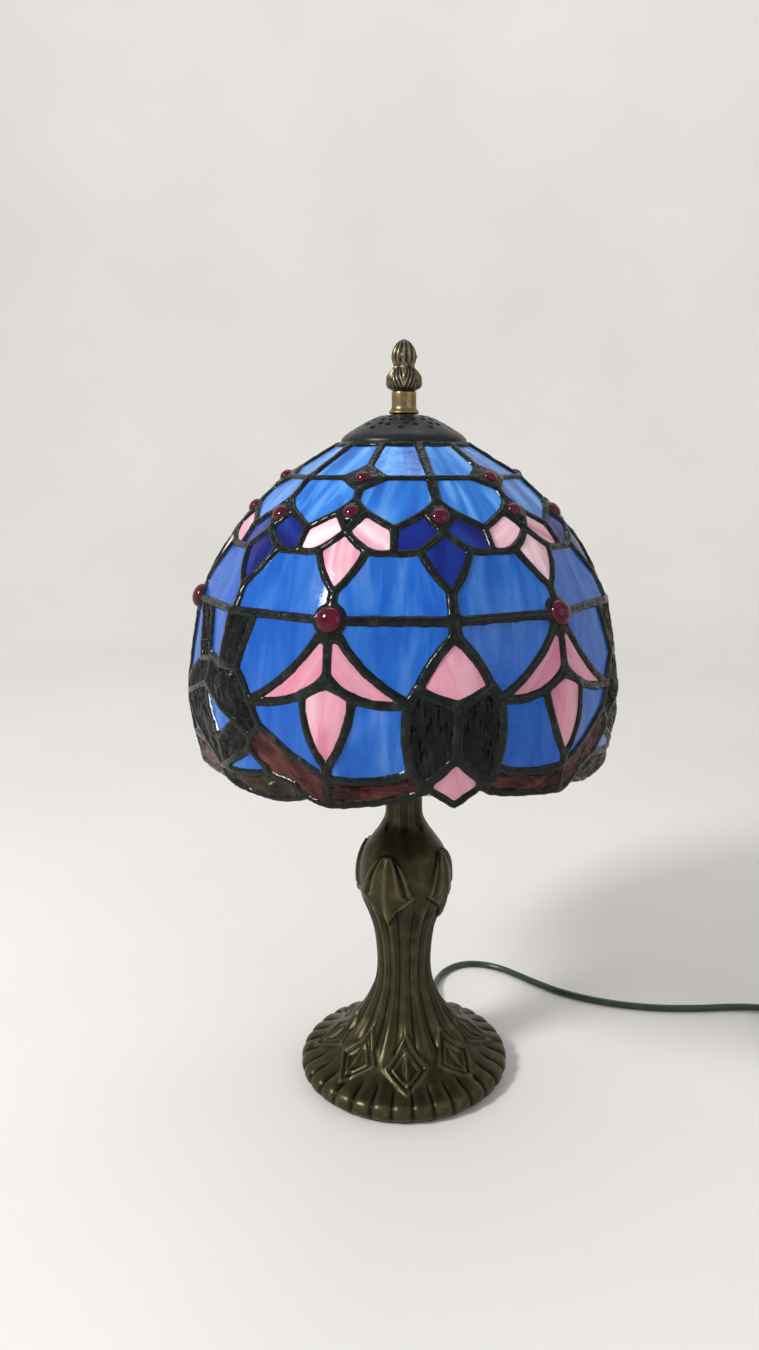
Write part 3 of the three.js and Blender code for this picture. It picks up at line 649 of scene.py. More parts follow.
def small_flowers(p):
    for u, kind in ((0, "cobalt"), (30, "pink"), (60, "cobalt"), (90, "pink")):
        for side in (1, -1):
            if 0 <= u + side * 15 <= QUARTER:
                small_flower_parts(p, u, side, kind)
        corners = [(u, THROAT), (u + HIP[0], HIP[1]), (u, TIP_Z), (u - HIP[0], HIP[1])]
        if u in (0, QUARTER):
            s = 1 if u == 0 else -1
            half = [(u, THROAT), (u + s * HIP[0], HIP[1]), (u, TIP_Z)]
            p.piece(kind, half, {0: -0.5 * s, 1: -0.9 * s}, 1.5, 90, axis=u)
        else:
            p.piece(kind, corners, {0: -0.5, 1: -0.9, 2: -0.9, 3: -0.5}, 1.5, 90)
        p.line((u, TIP_Z), fold(u), 0, 2.0)
    for u in (0, 30, 60):
        p.piece("sky", [(u + HIP[0], HIP[1]), (u + 15, MEET[1]), (u + 30 - HIP[0], HIP[1]), (u + 30, TIP_Z),
                        fold(u + 30), fold(u), (u, TIP_Z)],
                {0: 0.9, 1: 0.9, 2: 0.9, 6: 0.9}, 1.45, 92)
    p.line(fold(0), fold(30), 0, 1.9)


LARGE_TOP = 243.4
JOINT = (30, 229.0)
HEART_TIP = (10.6, 218.8)
BOW_TIP = (52.0, 215.4)
PETAL_TIP = (30, 191.5)
PETAL_TOP = (30, 225.6)
BAND_END = (30, 187.2)


def large_flower(p):
    """Three-petalled flower under a large jewel."""
    near_hip = (23.8, 220.8)
    far_hip = (36.2, 220.8)
    p.line((30, LARGE_TOP), JOINT, 0, 1.7)
    p.piece("pink", [(27.2, LARGE_TOP), (30, LARGE_TOP), JOINT, near_hip, HEART_TIP],
            {2: -0.7, 3: -1.7, 4: 2.6}, 1.65, 130)
    p.piece("pink", [(32.8, LARGE_TOP), (30, LARGE_TOP), JOINT, far_hip, BOW_TIP],
            {2: 0.7, 3: 1.7, 4: -2.6}, 1.65, 50)
    p.piece("pink", [PETAL_TOP, far_hip, PETAL_TIP, near_hip], {0: -0.3, 1: -2.2, 2: -2.2, 3: -0.3},
            1.6, 90)
    p.line(PETAL_TIP, BAND_END, 0, 1.8)


TULIP_SIDE = (8.8, 224.0)
LOBE_SIDE = (11.4, 212.4)
LOBE_LOW = (10.0, 191.2)
LOBE_END = (7.9, 185.8)
DIAMOND_TOP = (0, 197.0)
DIAMOND_SIDE = (6.4, 186.4)


def heart(p):
    """Pink tulip over two dark lobes and a small pink diamond."""
    p.piece("pink", [(0, 244.6), TULIP_SIDE, (0, 217.4)], {0: -1.5}, 2.0, 80, axis=0)
    p.line((0, 250.5), (0, 244.6), 0, 2.3)
    p.piece("bark", [(0, 217.4), TULIP_SIDE, LOBE_SIDE, LOBE_LOW, LOBE_END, DIAMOND_SIDE,
                     DIAMOND_TOP], {1: -1.4, 2: -1.2, 3: -0.2}, 2.0, 96)
    p.piece("pink", [DIAMOND_TOP, DIAMOND_SIDE, hem(6), hem(3), hem(0)], None, 1.6, 70, axis=0)
    p.line(LOBE_END, hem(7.6), 0, 1.6)


def panels_by_heart(p):
    top = [BAND_END, (24, 186.4), (18, 187.0), (13.5, 188.6), LOBE_LOW]
    p.piece("sky", [fold(0), fold(30), (27.2, LARGE_TOP), HEART_TIP, TULIP_SIDE, (0, 244.6)],
            None, 1.6, 86)
    p.piece("sky", [HEART_TIP, (23.8, 220.8), PETAL_TIP, *top, LOBE_SIDE], None, 1.6, 90)
    p.piece("umber", [*top, LOBE_END, hem(7.6), hem(9.6), hem(13), hem(18), hem(24), hem(30)],
            None, 1.7, 4)


BAR_TOP = (52.5, 61.2)
BAR_LOW = (56.8, 64.2)
FAR_TOP = (75.0, 83.4)
FAR_LOW = (72.2, 79.2)
BAR_Z = 227.2
FAR_Z = 225.6
APEX = (70, 228.8)
LEG_OUT = (48.8, 205.2)
LEG_END = (51.8, 199.6)
EYE_LEFT = (73.4, 216.4)
EYE_RIGHT = (56.2, 205.8)
EYE_LOW = (63.2, 195.8)
LOOP_TOP = (84.4, 219.6)
LOOP_OUT = (89.2, 211.0)
LOOP_IN = (88.8, 207.0)
LOOP_SIDE = (83.6, 195.4)
LOOP_TEE = (77.4, 188.8)
LOOP_LOW = (66.4, 181.0)
KNOT = (64.4, 182.8)
BAND_TOP = (52.4, 194.4)
BAND_LOW = (47.2, 185.4)
BAND_MIDDLE = (40, 195.6)
NOTCH = (39.5, 182.0)


def bow(p):
    """Dark ribbon: two bars, an arched loop and a diagonal band, with blue between them."""
    near = [(BAR_LOW[1], BAR_Z), (BAR_LOW[0], BAR_Z)]
    far = [(FAR_LOW[0], BAR_Z), (FAR_LOW[1], FAR_Z)]
    p.piece("bark", [fold(BAR_TOP[0]), fold(BAR_TOP[1]), *near], {1: -0.5, 3: 0.5}, 1.5, 78)
    p.piece("sky", [fold(BAR_TOP[1]), fold(FAR_TOP[0]), far[0], APEX, near[0]], None, 1.4, 92)
    p.piece("bark", [fold(FAR_TOP[0]), fold(FAR_TOP[1]), far[1], far[0]], {1: -0.5, 3: 0.5}, 1.5, 104)
    p.piece("bark", [APEX, *near, BOW_TIP, LEG_OUT, LEG_END, EYE_RIGHT, EYE_LEFT],
            {2: 0.6}, 1.5, 128)
    p.piece("sky", [EYE_LEFT, EYE_RIGHT, EYE_LOW], {0: 0.6, 2: 0.8}, 1.4, 90)
    p.piece("bark", [APEX, *far, LOOP_TOP, LOOP_OUT, LOOP_IN, EYE_LEFT], {3: -0.5}, 1.5, 62)
    p.piece("bark", [EYE_LEFT, LOOP_IN, LOOP_SIDE, LOOP_TEE, LOOP_LOW, KNOT, EYE_LOW],
            {1: -0.6, 2: -0.3, 5: 0.6}, 1.5, 130)
    p.piece("bark", [EYE_LOW, EYE_RIGHT, LEG_END, BAND_TOP, KNOT], {3: 0.4}, 1.5, 70)
    p.piece("sky", [KNOT, BAND_TOP, BAND_LOW], {2: 1.5}, 1.5, 88)
    p.piece("umber", [LEG_OUT, BAND_MIDDLE, BAND_END, hem(30), hem(33), hem(36.5), NOTCH, BAND_LOW,
                      BAND_TOP, LEG_END], {0: 0.5, 1: 0.5}, 1.6, 144)
    p.piece("olive", [KNOT, BAND_LOW, NOTCH, hem(36.5), hem(40), hem(45), hem(50), hem(55),
                      hem(60), hem(65), LOOP_LOW], None, 1.5, 172)


def panels_by_bow(p):
    near_low = (BAR_LOW[0], BAR_Z)
    loop_joint = (90, 209.0)
    band_joint = (90, 188.0)
    p.piece("sky", [fold(30), fold(BAR_TOP[0]), near_low, BOW_TIP, (32.8, LARGE_TOP)], None, 1.5, 92)
    p.piece("sky", [BOW_TIP, LEG_OUT, BAND_MIDDLE, BAND_END, PETAL_TIP, (36.2, 220.8)], None, 1.55, 86)
    p.piece("sky", [fold(90), fold(FAR_TOP[1]), (FAR_LOW[1], FAR_Z), LOOP_TOP, LOOP_OUT, loop_joint],
            None, 1.5, 90)
    p.piece("sky", [loop_joint, band_joint, LOOP_TEE, LOOP_SIDE, LOOP_IN], None, 1.5, 90)
    p.piece("umber", [band_joint, LOOP_TEE, LOOP_LOW, hem(65), hem(70), hem(76), hem(82), hem(86),
                      hem(90)], {0: -0.6}, 1.6, 178)


def draw_pattern():
    """Drawn twice: the first time finds each line's bow, which both its neighbours then share."""
    bows = {}
    for _ in range(2):
        p = Pattern(bows)
        bows = p.bows
        for part in (upper_tiers, small_flowers, large_flower, heart, panels_by_heart, bow,
                     panels_by_bow):
            part(p)
    return p


pattern = draw_pattern()


# ---- shade: cut glass -----------------------------------------------------------------

CLEARANCE = 0.55    # from a piece's edge to the middle of the solder line
CELL = {"sky": 5.0, "pink": 4.0, "cobalt": 4.0, "bark": 0.75, "umber": 0.8, "olive": 0.9}
RIPPLE = 0.75
TONES = random.Random(7)


def inset(outline, distance):
    """Closed flat outline drawn inwards."""
    area = 0.5 * np.sum(outline[:, 0] * np.roll(outline[:, 1], -1)
                        - outline[:, 1] * np.roll(outline[:, 0], -1))
    turn = 1 if area > 0 else -1
    edge = np.roll(outline, -1, 0) - outline
    edge /= np.maximum(np.linalg.norm(edge, axis=1, keepdims=True), 1e-9)
    normal = np.stack([-edge[:, 1], edge[:, 0]], -1) * turn
    before = np.roll(normal, 1, 0)
    scale = np.clip(1 + np.sum(normal * before, 1, keepdims=True), 0.25, 2)
    return outline + (normal + before) * distance / scale


def spaced(outline, least=0.5):
    """Outline without points that nearly coincide."""
    kept = [outline[0]]
    for point in outline[1:]:
        if np.hypot(*(point - kept[-1])) > least:
            kept.append(point)
    if np.hypot(*(kept[0] - kept[-1])) < least:
        kept.pop()
    return np.array(kept)


def flat_mesh(outline, cell):
    """Points and faces of a flat outline, cut up by a square grid."""
    work = bmesh.new()
    corners = [work.verts.new((x, y, 0)) for x, y in outline]
    face = work.faces.new(corners)
    face.normal_update()
    bmesh.ops.triangulate(work, faces=[face], ngon_method="EAR_CLIP")
    for axis in (0, 1):
        low = math.ceil(outline[:, axis].min() / cell) * cell
        normal = (1, 0, 0) if axis == 0 else (0, 1, 0)
        place = low
        while place < outline[:, axis].max():
            co = (place, 0, 0) if axis == 0 else (0, place, 0)
            geometry = work.verts[:] + work.edges[:] + work.faces[:]
            bmesh.ops.bisect_plane(work, geom=geometry, dist=0.01, plane_co=co, plane_no=normal)
            place += cell
    flat = [e for e in work.edges if len(e.link_faces) == 2]
    bmesh.ops.dissolve_limit(work, angle_limit=0.01, verts=[], edges=[
        e for e in flat if off_grid(e, cell)])
    bmesh.ops.remove_doubles(work, verts=work.verts, dist=0.02)
    work.verts.index_update()
    points = np.array([v.co[:2] for v in work.verts])
    faces = [[v.index for v in f.verts] for f in work.faces]
    rim = [(e.verts[0].index, e.verts[1].index) for e in work.edges if len(e.link_faces) == 1]
    work.free()
    return points, faces, rim


def off_grid(edge, cell):
    """True for an inner edge that isn't one of the grid's own cuts."""
    a, b = (v.co for v in edge.verts)
    for axis in (0, 1):
        if abs(a[axis] - b[axis]) < 1e-4 and abs(a[axis] / cell - round(a[axis] / cell)) < 1e-3:
            return False
    return True


def ripples(points, grain):
    """Heights of a rippled face, ridged along the grain."""
    angle = math.radians(grain)
    run = points @ np.array([math.cos(angle), math.sin(angle)])
    side = points @ np.array([-math.sin(angle), math.cos(angle)])
    return np.array([
        1 - 2.6 * abs(noise.noise(Vector((r * 0.1, s * 0.55, 3.1))))
        + 0.7 * noise.noise(Vector((r * 0.3, s * 1.2, 9.7))) for r, s in zip(run, side)]) * RIPPLE


class Glass:
    """Glass pieces of one kind, gathered into one mesh."""

    def __init__(self):
        self.points = []
        self.faces = []
        self.grain = []
        self.tone = []

    def add(self, outer, inner, faces, rim, grain, tone, flip):
        start = len(self.points)
        count = len(outer)
        self.points += [tuple(p) for p in outer] + [tuple(p) for p in inner]
        self.grain += [tuple(g) for g in grain] * 2
        self.tone += [tone] * (2 * count)
        for face in faces:
            face = face[::-1] if flip else face
            self.faces.append([start + i for i in face])
            self.faces.append([start + count + i for i in face[::-1]])
        for a, b in rim:
            self.faces.append([start + a, start + b, start + count + b, start + count + a])


def copies(axis):
    """Mirrored and turned copies of a piece: (sign of u, bearing of u = 0)."""
    if axis is None:
        return [(1, HEART), (-1, HEART), (1, HEART + 180), (-1, HEART + 180)]
    return [(1, HEART), (1, HEART + 180)]


def cut_glass():
    kinds = {kind: Glass() for kind in CELL}
    for kind, outline, grain, axis in pattern.pieces:
        scale = math.radians(np.interp(outline[:, 1].mean(), ALONG, LINE_R))
        flat = outline * (scale, 1)
        flat = spaced(inset(spaced(flat), CLEARANCE))
        points, faces, rim = flat_mesh(flat, CELL[kind])
        lift = ripples(points, grain) if kind in ("bark", "umber", "olive") else np.zeros(len(points))
        # Painted shade: pieces lower on the shade get a deeper colour, as though less light fell on them. A
        # random share per piece is added to it.
        low = 240 if kind == "pink" else 275
        depth = smoothstep(along_at(low + 30), along_at(low), outline[:, 1].mean())
        angle = math.radians(grain)
        turn = np.array([[math.cos(angle), -math.sin(angle)], [math.sin(angle), math.cos(angle)]])
        for sign, zero in copies(axis):
            bearing = zero + sign * points[:, 0] / scale
            normal = glass_normal(bearing, points[:, 1])
            face_at = on_glass(bearing, points[:, 1])
            shift = np.array([TONES.uniform(-400, 400), TONES.uniform(-400, 400)])
            streak = np.column_stack([(points + 0.0) @ turn + shift, np.zeros(len(points))])[:, [1, 0, 2]]
            kinds[kind].add(face_at + normal * lift[:, None], face_at - normal * GLASS, faces,
                            rim, streak, depth * 0.65 + TONES.random() * 0.35, sign > 0)
    return kinds


def make_glass():
    paints = {"sky": SKY, "pink": PINK, "cobalt": COBALT, "bark": BARK, "umber": UMBER,
              "olive": OLIVE}
    gores = [f"glass_gore_{i + 1}" for i in range(FACES)]
    for kind, glass in cut_glass().items():
        obj = mesh_object(f"{kind}_glass", glass.points, glass.faces, paints[kind])
        grain = obj.data.attributes.new("grain", "FLOAT_VECTOR", "POINT")
        grain.data.foreach_set("vector", np.array(glass.grain, np.float32).ravel())
        tone = obj.data.attributes.new("tone", "FLOAT", "POINT")
        tone.data.foreach_set("value", np.array(glass.tone, np.float32))
        work = bmesh.new()
        work.from_mesh(obj.data)
        bmesh.ops.recalc_face_normals(work, faces=work.faces)
        work.to_mesh(obj.data)
        work.free()
        crease(obj, 50)
        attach(obj, "shade")
        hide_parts(*gores)


make_glass()


# ---- shade: solder ----------------------------------------------------------------------

GRID = 0.62         # spacing of the solder's mesh, along and across
PROUD = 1.25
BLEND = 0.16        # how far neighbouring lines flow together
EDGE = 1.42         # where the mesh ends, in half widths from a line's middle
JEWEL_PLACES = (
    # u, height, radius of its solder plate, on a seam
    (30, 250.5, 7.2), (90, 250.5, 7.2),
    (0, 288.9, 5.6), (30, 290.4, 5.0), (60, 288.9, 5.6), (90, 290.4, 5.0),
)
KITES = (30, 90)
KITE_WIDE = 9.4
KITE_ABOVE = 8.6
KITE_BELOW = 6.2
WIDEN = 1.1


def solder_heights(columns, rows):
    """How far each grid point is from the nearest line, in half widths; neighbours flow together."""
    result = np.full((len(rows), len(columns)), 9.0)
    lines = []
    for points, width in pattern.lines.values():
        for side in (points, points * (-1, 1), points * (-1, 1) + (2 * QUARTER, 0)):
            if side[:, 0].max() > -6 and side[:, 0].min() < QUARTER + 6:
                lines.append((side, width))
    for i, along in enumerate(rows):
        scale = math.radians(float(np.interp(along, ALONG, LINE_R)))
        x = columns * scale
        total = np.zeros(len(columns))
        for points, width in lines:
            if points[:, 1].min() - 5 > along or points[:, 1].max() + 5 < along:
                continue
            near = line_distance(x, along, points * (scale, 1)) / (width * WIDEN)
            total += np.exp(-np.minimum(near, 8) / BLEND)
        for u, height, reach in JEWEL_PLACES:
            place = np.hypot((columns - u) * scale, along - along_at(height))
            near = np.maximum(place - reach + 1.5, 0) / 1.5
            total += np.exp(-np.minimum(near, 8) / BLEND)
        below = along - along_at(303.7)
        for u in KITES:
            tall = KITE_BELOW if below > 0 else KITE_ABOVE
            place = np.abs(columns - u) * scale / KITE_WIDE + abs(below) / tall
            total += np.exp(-np.minimum(np.maximum(place - 0.8, 0) * 3.6, 8) / BLEND)
        result[i] = -BLEND * np.log(np.maximum(total, 1e-30))
    return result


def line_distance(x, y, points):
    """Distance from the grid row's points to a polyline."""
    a = points[:-1]
    b = points[1:]
    span = b - a
    size = np.maximum(np.sum(span * span, 1), 1e-9)
    px = x[:, None] - a[:, 0]
    py = y - a[:, 1]
    t = np.clip((px * span[:, 0] + py * span[:, 1]) / size, 0, 1)
    return np.min(np.hypot(px - t * span[:, 0], py - t * span[:, 1]), axis=1)


def lumps(points, scale, seed):
    flat = points.reshape(-1, 3)
    values = [noise.noise(Vector((p[0] * scale + seed, p[1] * scale, p[2] * scale))) for p in flat]
    return np.array(values).reshape(points.shape[:-1])


def make_solder():
    last = along_at(min(HEM_Z)) + 1
    step = math.degrees(GRID / LINE_R.max())
    count = int(QUARTER / step)
    columns = np.linspace(0, QUARTER, count + 1)
    rows = np.arange(-0.6, last, GRID)
    near = solder_heights(columns, rows)
    hem_row = np.array([along_at(z) for z in np.interp(columns, HEM_U, HEM_Z)])
    inside = rows[:, None] <= hem_row[None, :]
    cell = (near < EDGE) & inside
    cells = cell[:-1, :-1] | cell[1:, :-1] | cell[:-1, 1:] | cell[1:, 1:]
    cells &= (inside[:-1, :-1] & inside[:-1, 1:])
    for quarter, (sign, zero) in enumerate(copies(None), 1):
        solder_quarter(quarter, sign, zero, columns, rows, near, cells)


def solder_quarter(quarter, sign, zero, columns, rows, near, cells):
    bearing = np.broadcast_to(zero + sign * columns, near.shape)
    along = np.broadcast_to(rows[:, None], near.shape)
    surface = on_glass(bearing, along)
    normal = glass_normal(bearing, along)
    rough = lumps(surface, 0.16, 5) * 0.8 + lumps(surface, 0.5, 11) * 0.45
    spread = np.clip(near * (1 + 0.22 * rough), 0, None)
    dome = np.sqrt(np.clip(1 - spread ** 2, 0, 1)) - np.clip(spread - 1, 0, 1) * 2.5
    height = np.maximum(PROUD * dome * (1 + 0.35 * rough), -0.9)
    outer = surface + normal * height[..., None]
    inner = surface - normal * (GLASS + height * 0.8)[..., None]
    used = np.zeros(near.shape, bool)
    for di, dj in ((0, 0), (1, 0), (0, 1), (1, 1)):
        used[di:cells.shape[0] + di, dj:cells.shape[1] + dj] |= cells
    index = np.full(near.shape, -1)
    index[used] = np.arange(used.sum())
    shift = int(used.sum())
    points = np.concatenate([outer[used], inner[used]])
    faces = []
    here = np.argwhere(cells)
    for i, j in here:
        a, b, c, d = index[i, j], index[i + 1, j], index[i + 1, j + 1], index[i, j + 1]
        faces.append((a, b, c, d))
        faces.append((a + shift, d + shift, c + shift, b + shift))
        for (p, q), (ni, nj) in (((a, b), (i, j - 1)), ((b, c), (i + 1, j)), ((c, d), (i, j + 1)),
                                 ((d, a), (i - 1, j))):
            inside = 0 <= ni < cells.shape[0] and 0 <= nj < cells.shape[1]
            if not (inside and cells[ni, nj]):
                faces.append((q, p, p + shift, q + shift))
    if sign < 0:
        faces = [face[::-1] for face in faces]
    obj = mesh_object(f"solder_quarter_{quarter}", points, faces, SOLDER)
    crease(obj, 60)
    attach(obj, "shade")
    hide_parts("solder_work")


make_solder()


def make_hem():
    """Rounded solder rim that follows the scalloped lower edge."""
    sides = 10
    stations = []
    for sign, zero in copies(None):
        run = np.arange(0, QUARTER, 0.75)
        run = run if sign > 0 else QUARTER - run
        stations += [(zero + sign * u, along_at(np.interp(u, HEM_U, HEM_Z))) for u in run]
    stations.sort(key=lambda s: (s[0] + 360) % 360)
    bearing = np.array([s[0] for s in stations])
    along = np.array([s[1] for s in stations])
    normal = glass_normal(bearing, along)
    middle = on_glass(bearing, along) - normal * GLASS * 0.5
    ahead = np.roll(middle, -1, 0) - np.roll(middle, 1, 0)
    ahead /= np.linalg.norm(ahead, axis=1, keepdims=True)
    other = np.cross(ahead, normal)
    girth = 1 + 0.22 * lumps(middle, 0.3, 21)
    points = []
    faces = []
    count = len(stations)
    for k in range(count):
        for s in range(sides):
            angle = 2 * math.pi * s / sides
            offset = normal[k] * math.cos(angle) * 2.2 + other[k] * math.sin(angle) * 1.6
            points.append(middle[k] + offset * girth[k])
            a, b = k * sides + s, k * sides + (s + 1) % sides
            c, d = (k + 1) % count * sides + (s + 1) % sides, (k + 1) % count * sides + s
            faces.append((a, b, c, d))
    obj = mesh_object("hem_bead", points, faces, SOLDER)
    tidy(obj)
    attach(obj, "shade")
    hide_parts("solder_work")


make_hem()

CROWN_RING = [(24.0, 315.2), (29.6, 315.0), (31.8, 316.4), (31.5, 318.2), (30.0, 318.6),
              (29.2, 317.7), (24.0, 317.7)]


def make_crown_ring():
    obj = turned("crown_ring", CROWN_RING, SOLDER, 144, 2)
    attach(obj, "shade")
    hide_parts("solder_work")


make_crown_ring()


# ---- shade: jewels ------------------------------------------------------------------------

def dome(name, bearing, height, radius, rise, replaced=None):
    """Glass cabochon set in the solder."""
    along = along_at(height)
    normal = glass_normal(bearing, along)
    centre = on_glass(bearing, along) + normal * 0.5
    side = np.array([math.cos(math.radians(bearing)), math.sin(math.radians(bearing)), 0.0])
    up = np.cross(normal, side)
    rings, around = 9, 32
    points = [centre + normal * rise]
    faces = []
    for k in range(1, rings + 1):
        angle = math.pi / 2 * k / rings
        for s in range(around):
            turn = 2 * math.pi * s / around
            flat = side * math.cos(turn) + up * math.sin(turn)
            points.append(centre + flat * radius * math.sin(angle) + normal * rise * math.cos(angle))
    points.append(centre - normal * 1.4)
    for s in range(around):
        t = (s + 1) % around
        faces.append((0, 1 + s, 1 + t))
        for k in range(rings - 1):
            a = 1 + k * around
            faces.append((a + s, a + around + s, a + around + t, a + t))
        last = 1 + (rings - 1) * around
        faces.append((last + s, len(points) - 1, last + t))
    obj = mesh_object(name, points, faces, JEWEL)
    tidy(obj)
    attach(obj, "shade")
    if replaced:
        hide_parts(replaced)


def make_jewels():
    for i in range(1, JEWELS + 1):
        for size, height, radius, rise in (("large", 250.5, 5.4, 3.6), ("small", 303.7, 3.3, 2.4)):
            low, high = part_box(f"{size}_jewel_{i}")
            bearing = math.degrees(math.atan2(low.x + high.x, -(low.y + high.y)))
            dome(f"{size}_cabochon_{i}", bearing, height, radius, rise, f"{size}_jewel_{i}")
    for i in range(FACES):
        height, radius = ((288.9, 4.1), (290.4, 3.6))[i % 2]
        dome(f"flower_cabochon_{i + 1}", HEART + i * 360 / FACES, height, radius, 2.6)


JEWELS = 6
make_jewels()


# ---- vent cap -----------------------------------------------------------------------------

CAP_PROFILE = [
    (28.7, 318.0), (29.0, 319.0), (28.6, 320.4), (26.5, 322.5), (18.8, 327.0), (15.1, 328.9),
    (11.6, 330.4), (8.0, 331.0), (3.6, 331.0), (3.6, 330.0), (8.0, 330.0), (11.2, 329.4),
    (14.6, 327.9), (18.4, 326.0), (25.6, 321.9), (27.4, 319.8), (27.6, 318.0),
]
CLUSTERS = 10
PIERCINGS = [(11.8, 0), (15.0, -9), (15.4, 8), (18.6, -4), (19.4, 8), (21.8, -10)]
PIERCING_R = 1.35


def make_cap():
    """Low cone with clusters of pierced holes."""
    cap = turned("pierced_cap", CAP_PROFILE, GUNMETAL, 120, 1)
    work = bmesh.new()
    for k in range(CLUSTERS):
        for radius, offset in PIERCINGS:
            pin = bmesh.ops.create_cone(work, cap_ends=True, segments=12, radius1=PIERCING_R * MM,
                                        radius2=PIERCING_R * MM, depth=12 * MM)
            x, y, z = on_bearing(360 * k / CLUSTERS + offset + 7, radius, 327)
            bmesh.ops.translate(work, verts=pin["verts"], vec=(x * MM, y * MM, z * MM))
    mesh = bpy.data.meshes.new("pins")
    work.to_mesh(mesh)
    work.free()
    pins = bpy.data.objects.new("pins", mesh)
    SCENE.collection.objects.link(pins)
    cut = cap.modifiers.new("cut", "BOOLEAN")
    cut.object = pins
    cut.operation = "DIFFERENCE"
    cut.solver = "EXACT"
    bpy.context.view_layer.update()
    done = bpy.data.meshes.new_from_object(cap.evaluated_get(bpy.context.evaluated_depsgraph_get()))
    cap.modifiers.clear()
    cap.data = done
    bpy.data.objects.remove(pins)
    for polygon in cap.data.polygons:
        polygon.use_smooth = True
    crease(cap, 50)
    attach(cap, "shade")
    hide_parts("vent_cap")


make_cap()


# ---- finial -------------------------------------------------------------------------------

NECK_PROFILE = [(3.3, 331.3), (6.5, 331.3), (7.0, 332.0), (6.5, 332.9), (5.9, 333.6), (5.6, 334.8),
                (5.7, 340.9), (5.3, 341.3), (3.3, 341.3)]
BUD_PROFILE = [(3.0, 337.6), (3.0, 341.0), (5.3, 341.5), (7.2, 343.2), (7.9, 345.4), (7.4, 347.8),
               (6.1, 350.2), (5.0, 352.0), (5.1, 354.2), (5.4, 356.4), (5.0, 358.8), (3.9, 361.2),
               (2.0, 363.4), (0.0, 364.4)]


def bud_relief(bearing, height):
    """Leaf ridges: arcs that fold about four leaves below, upright flames above."""
    sector = (bearing + 45) % 90 - 45
    low = smoothstep(341.6, 343.4, height) * (1 - smoothstep(350.2, 352.4, height))
    arcs = np.cos(np.radians(26 * np.abs(sector) - (height - 343) * 75))
    stem = np.exp(-(sector / 7) ** 2)
    high = smoothstep(352.4, 355, height) * (1 - smoothstep(362.4, 364.2, height))
    flames = np.cos(np.radians(12 * bearing + 30 * np.sin((height - 352) * 0.5)))
    tips = np.maximum(np.cos(np.radians(3 * bearing + 20)), 0) ** 5
    collar = np.exp(-((height - 357.0) / 1.1) ** 2)
    waist = np.exp(-((height - 352) / 1.6) ** 2) * np.cos(np.radians(6 * bearing))
    return low * (0.26 * arcs + 0.45 * stem - 0.1) + 0.34 * high * flames + 1.3 * tips * collar \
        + 0.3 * waist


def keep_relief(obj, values):
    """Stores how far each point is raised, for the metal's wear, then joins and turns faces."""
    relief = obj.data.attributes.new("relief", "FLOAT", "POINT")
    relief.data.foreach_set("value", np.array(values, np.float32))
    tidy(obj)


def make_finial():
    neck = turned("finial_collar", NECK_PROFILE, BRASS, 96, 2)
    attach(neck, "finial_neck")
    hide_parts("finial_neck")
    line = np.concatenate([[BUD_PROFILE[0]], catmull(BUD_PROFILE[1:], 6)])
    around = 216
    points = [(0, 0, BUD_PROFILE[0][1])]
    relief = [0.3]
    faces = []
    bearing = np.arange(around) * 360 / around
    for r, z in line[:-1]:
        lift = bud_relief(bearing, z) * (z > 341.5) * min(1, r / 3) + 0 * bearing
        relief += list(np.clip(0.5 + lift * 1.2, 0, 1))
        reach = r + lift
        points += [on_bearing(b, d, z) for b, d in zip(bearing, reach)]
    points.append((0, 0, line[-1][1]))
    rows = len(line) - 1
    for s in range(around):
        t = (s + 1) % around
        faces.append((0, 1 + s, 1 + t))
        for k in range(rows - 1):
            a = 1 + k * around
            faces.append((a + s, a + around + s, a + around + t, a + t))
        faces.append((1 + (rows - 1) * around + s, len(points) - 1, 1 + (rows - 1) * around + t))
    bud = mesh_object("flame_bud", points, faces, BUD_BRASS)
    keep_relief(bud, relief + [0.8])
    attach(bud, "finial_bud")
    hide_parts("finial_bud")


make_finial()


# ---- stand --------------------------------------------------------------------------------

STAND_OUTSIDE = [
    (49.6, 1.5), (52.2, 2.4), (53.3, 5.2), (52.6, 8.2), (50.2, 10.3), (44, 12.6), (36, 17),
    (28, 23.6), (21.4, 32), (17.2, 40.5), (14.3, 48.5), (13.1, 57), (13.4, 67), (14.8, 78),
    (17.6, 87.5), (21.2, 96), (22.9, 105), (22.5, 113), (20.2, 120.5), (16, 127), (11.8, 133),
    (9.6, 138.5), (9.2, 150),
]
STAND_INSIDE = [(5.3, 150), (5.3, 42), (10, 38), (15, 38), (24, 22), (33, 13.5), (44, 8.5),
                (48.2, 5.5), (47.6, 1.5)]
LOBES = 32
FLUTES = 16
DIAMONDS = 8
LEAVES = 4
LEAF_TIP = 122.5
LEAF_HOOK = 103.5
LEAF_STEM = 86.0
STAND_COLUMNS = 448


def bump_line(distance, width):
    """Rounded ridge: 1 on the line, 0 beyond its width."""
    return np.exp(-(distance / width) ** 2)


def rim_lobes(bearing, radius, height):
    pitch = 360 / LOBES
    across = ((bearing + 1 + pitch / 2) % pitch - pitch / 2) / (pitch / 2)
    shape = 1 - np.abs(across) ** 3.2
    window = smoothstep(38, 45, radius) * smoothstep(1.6, 4.2, height) * (height < 24)
    return 1.35 * (shape - 0.85) * window


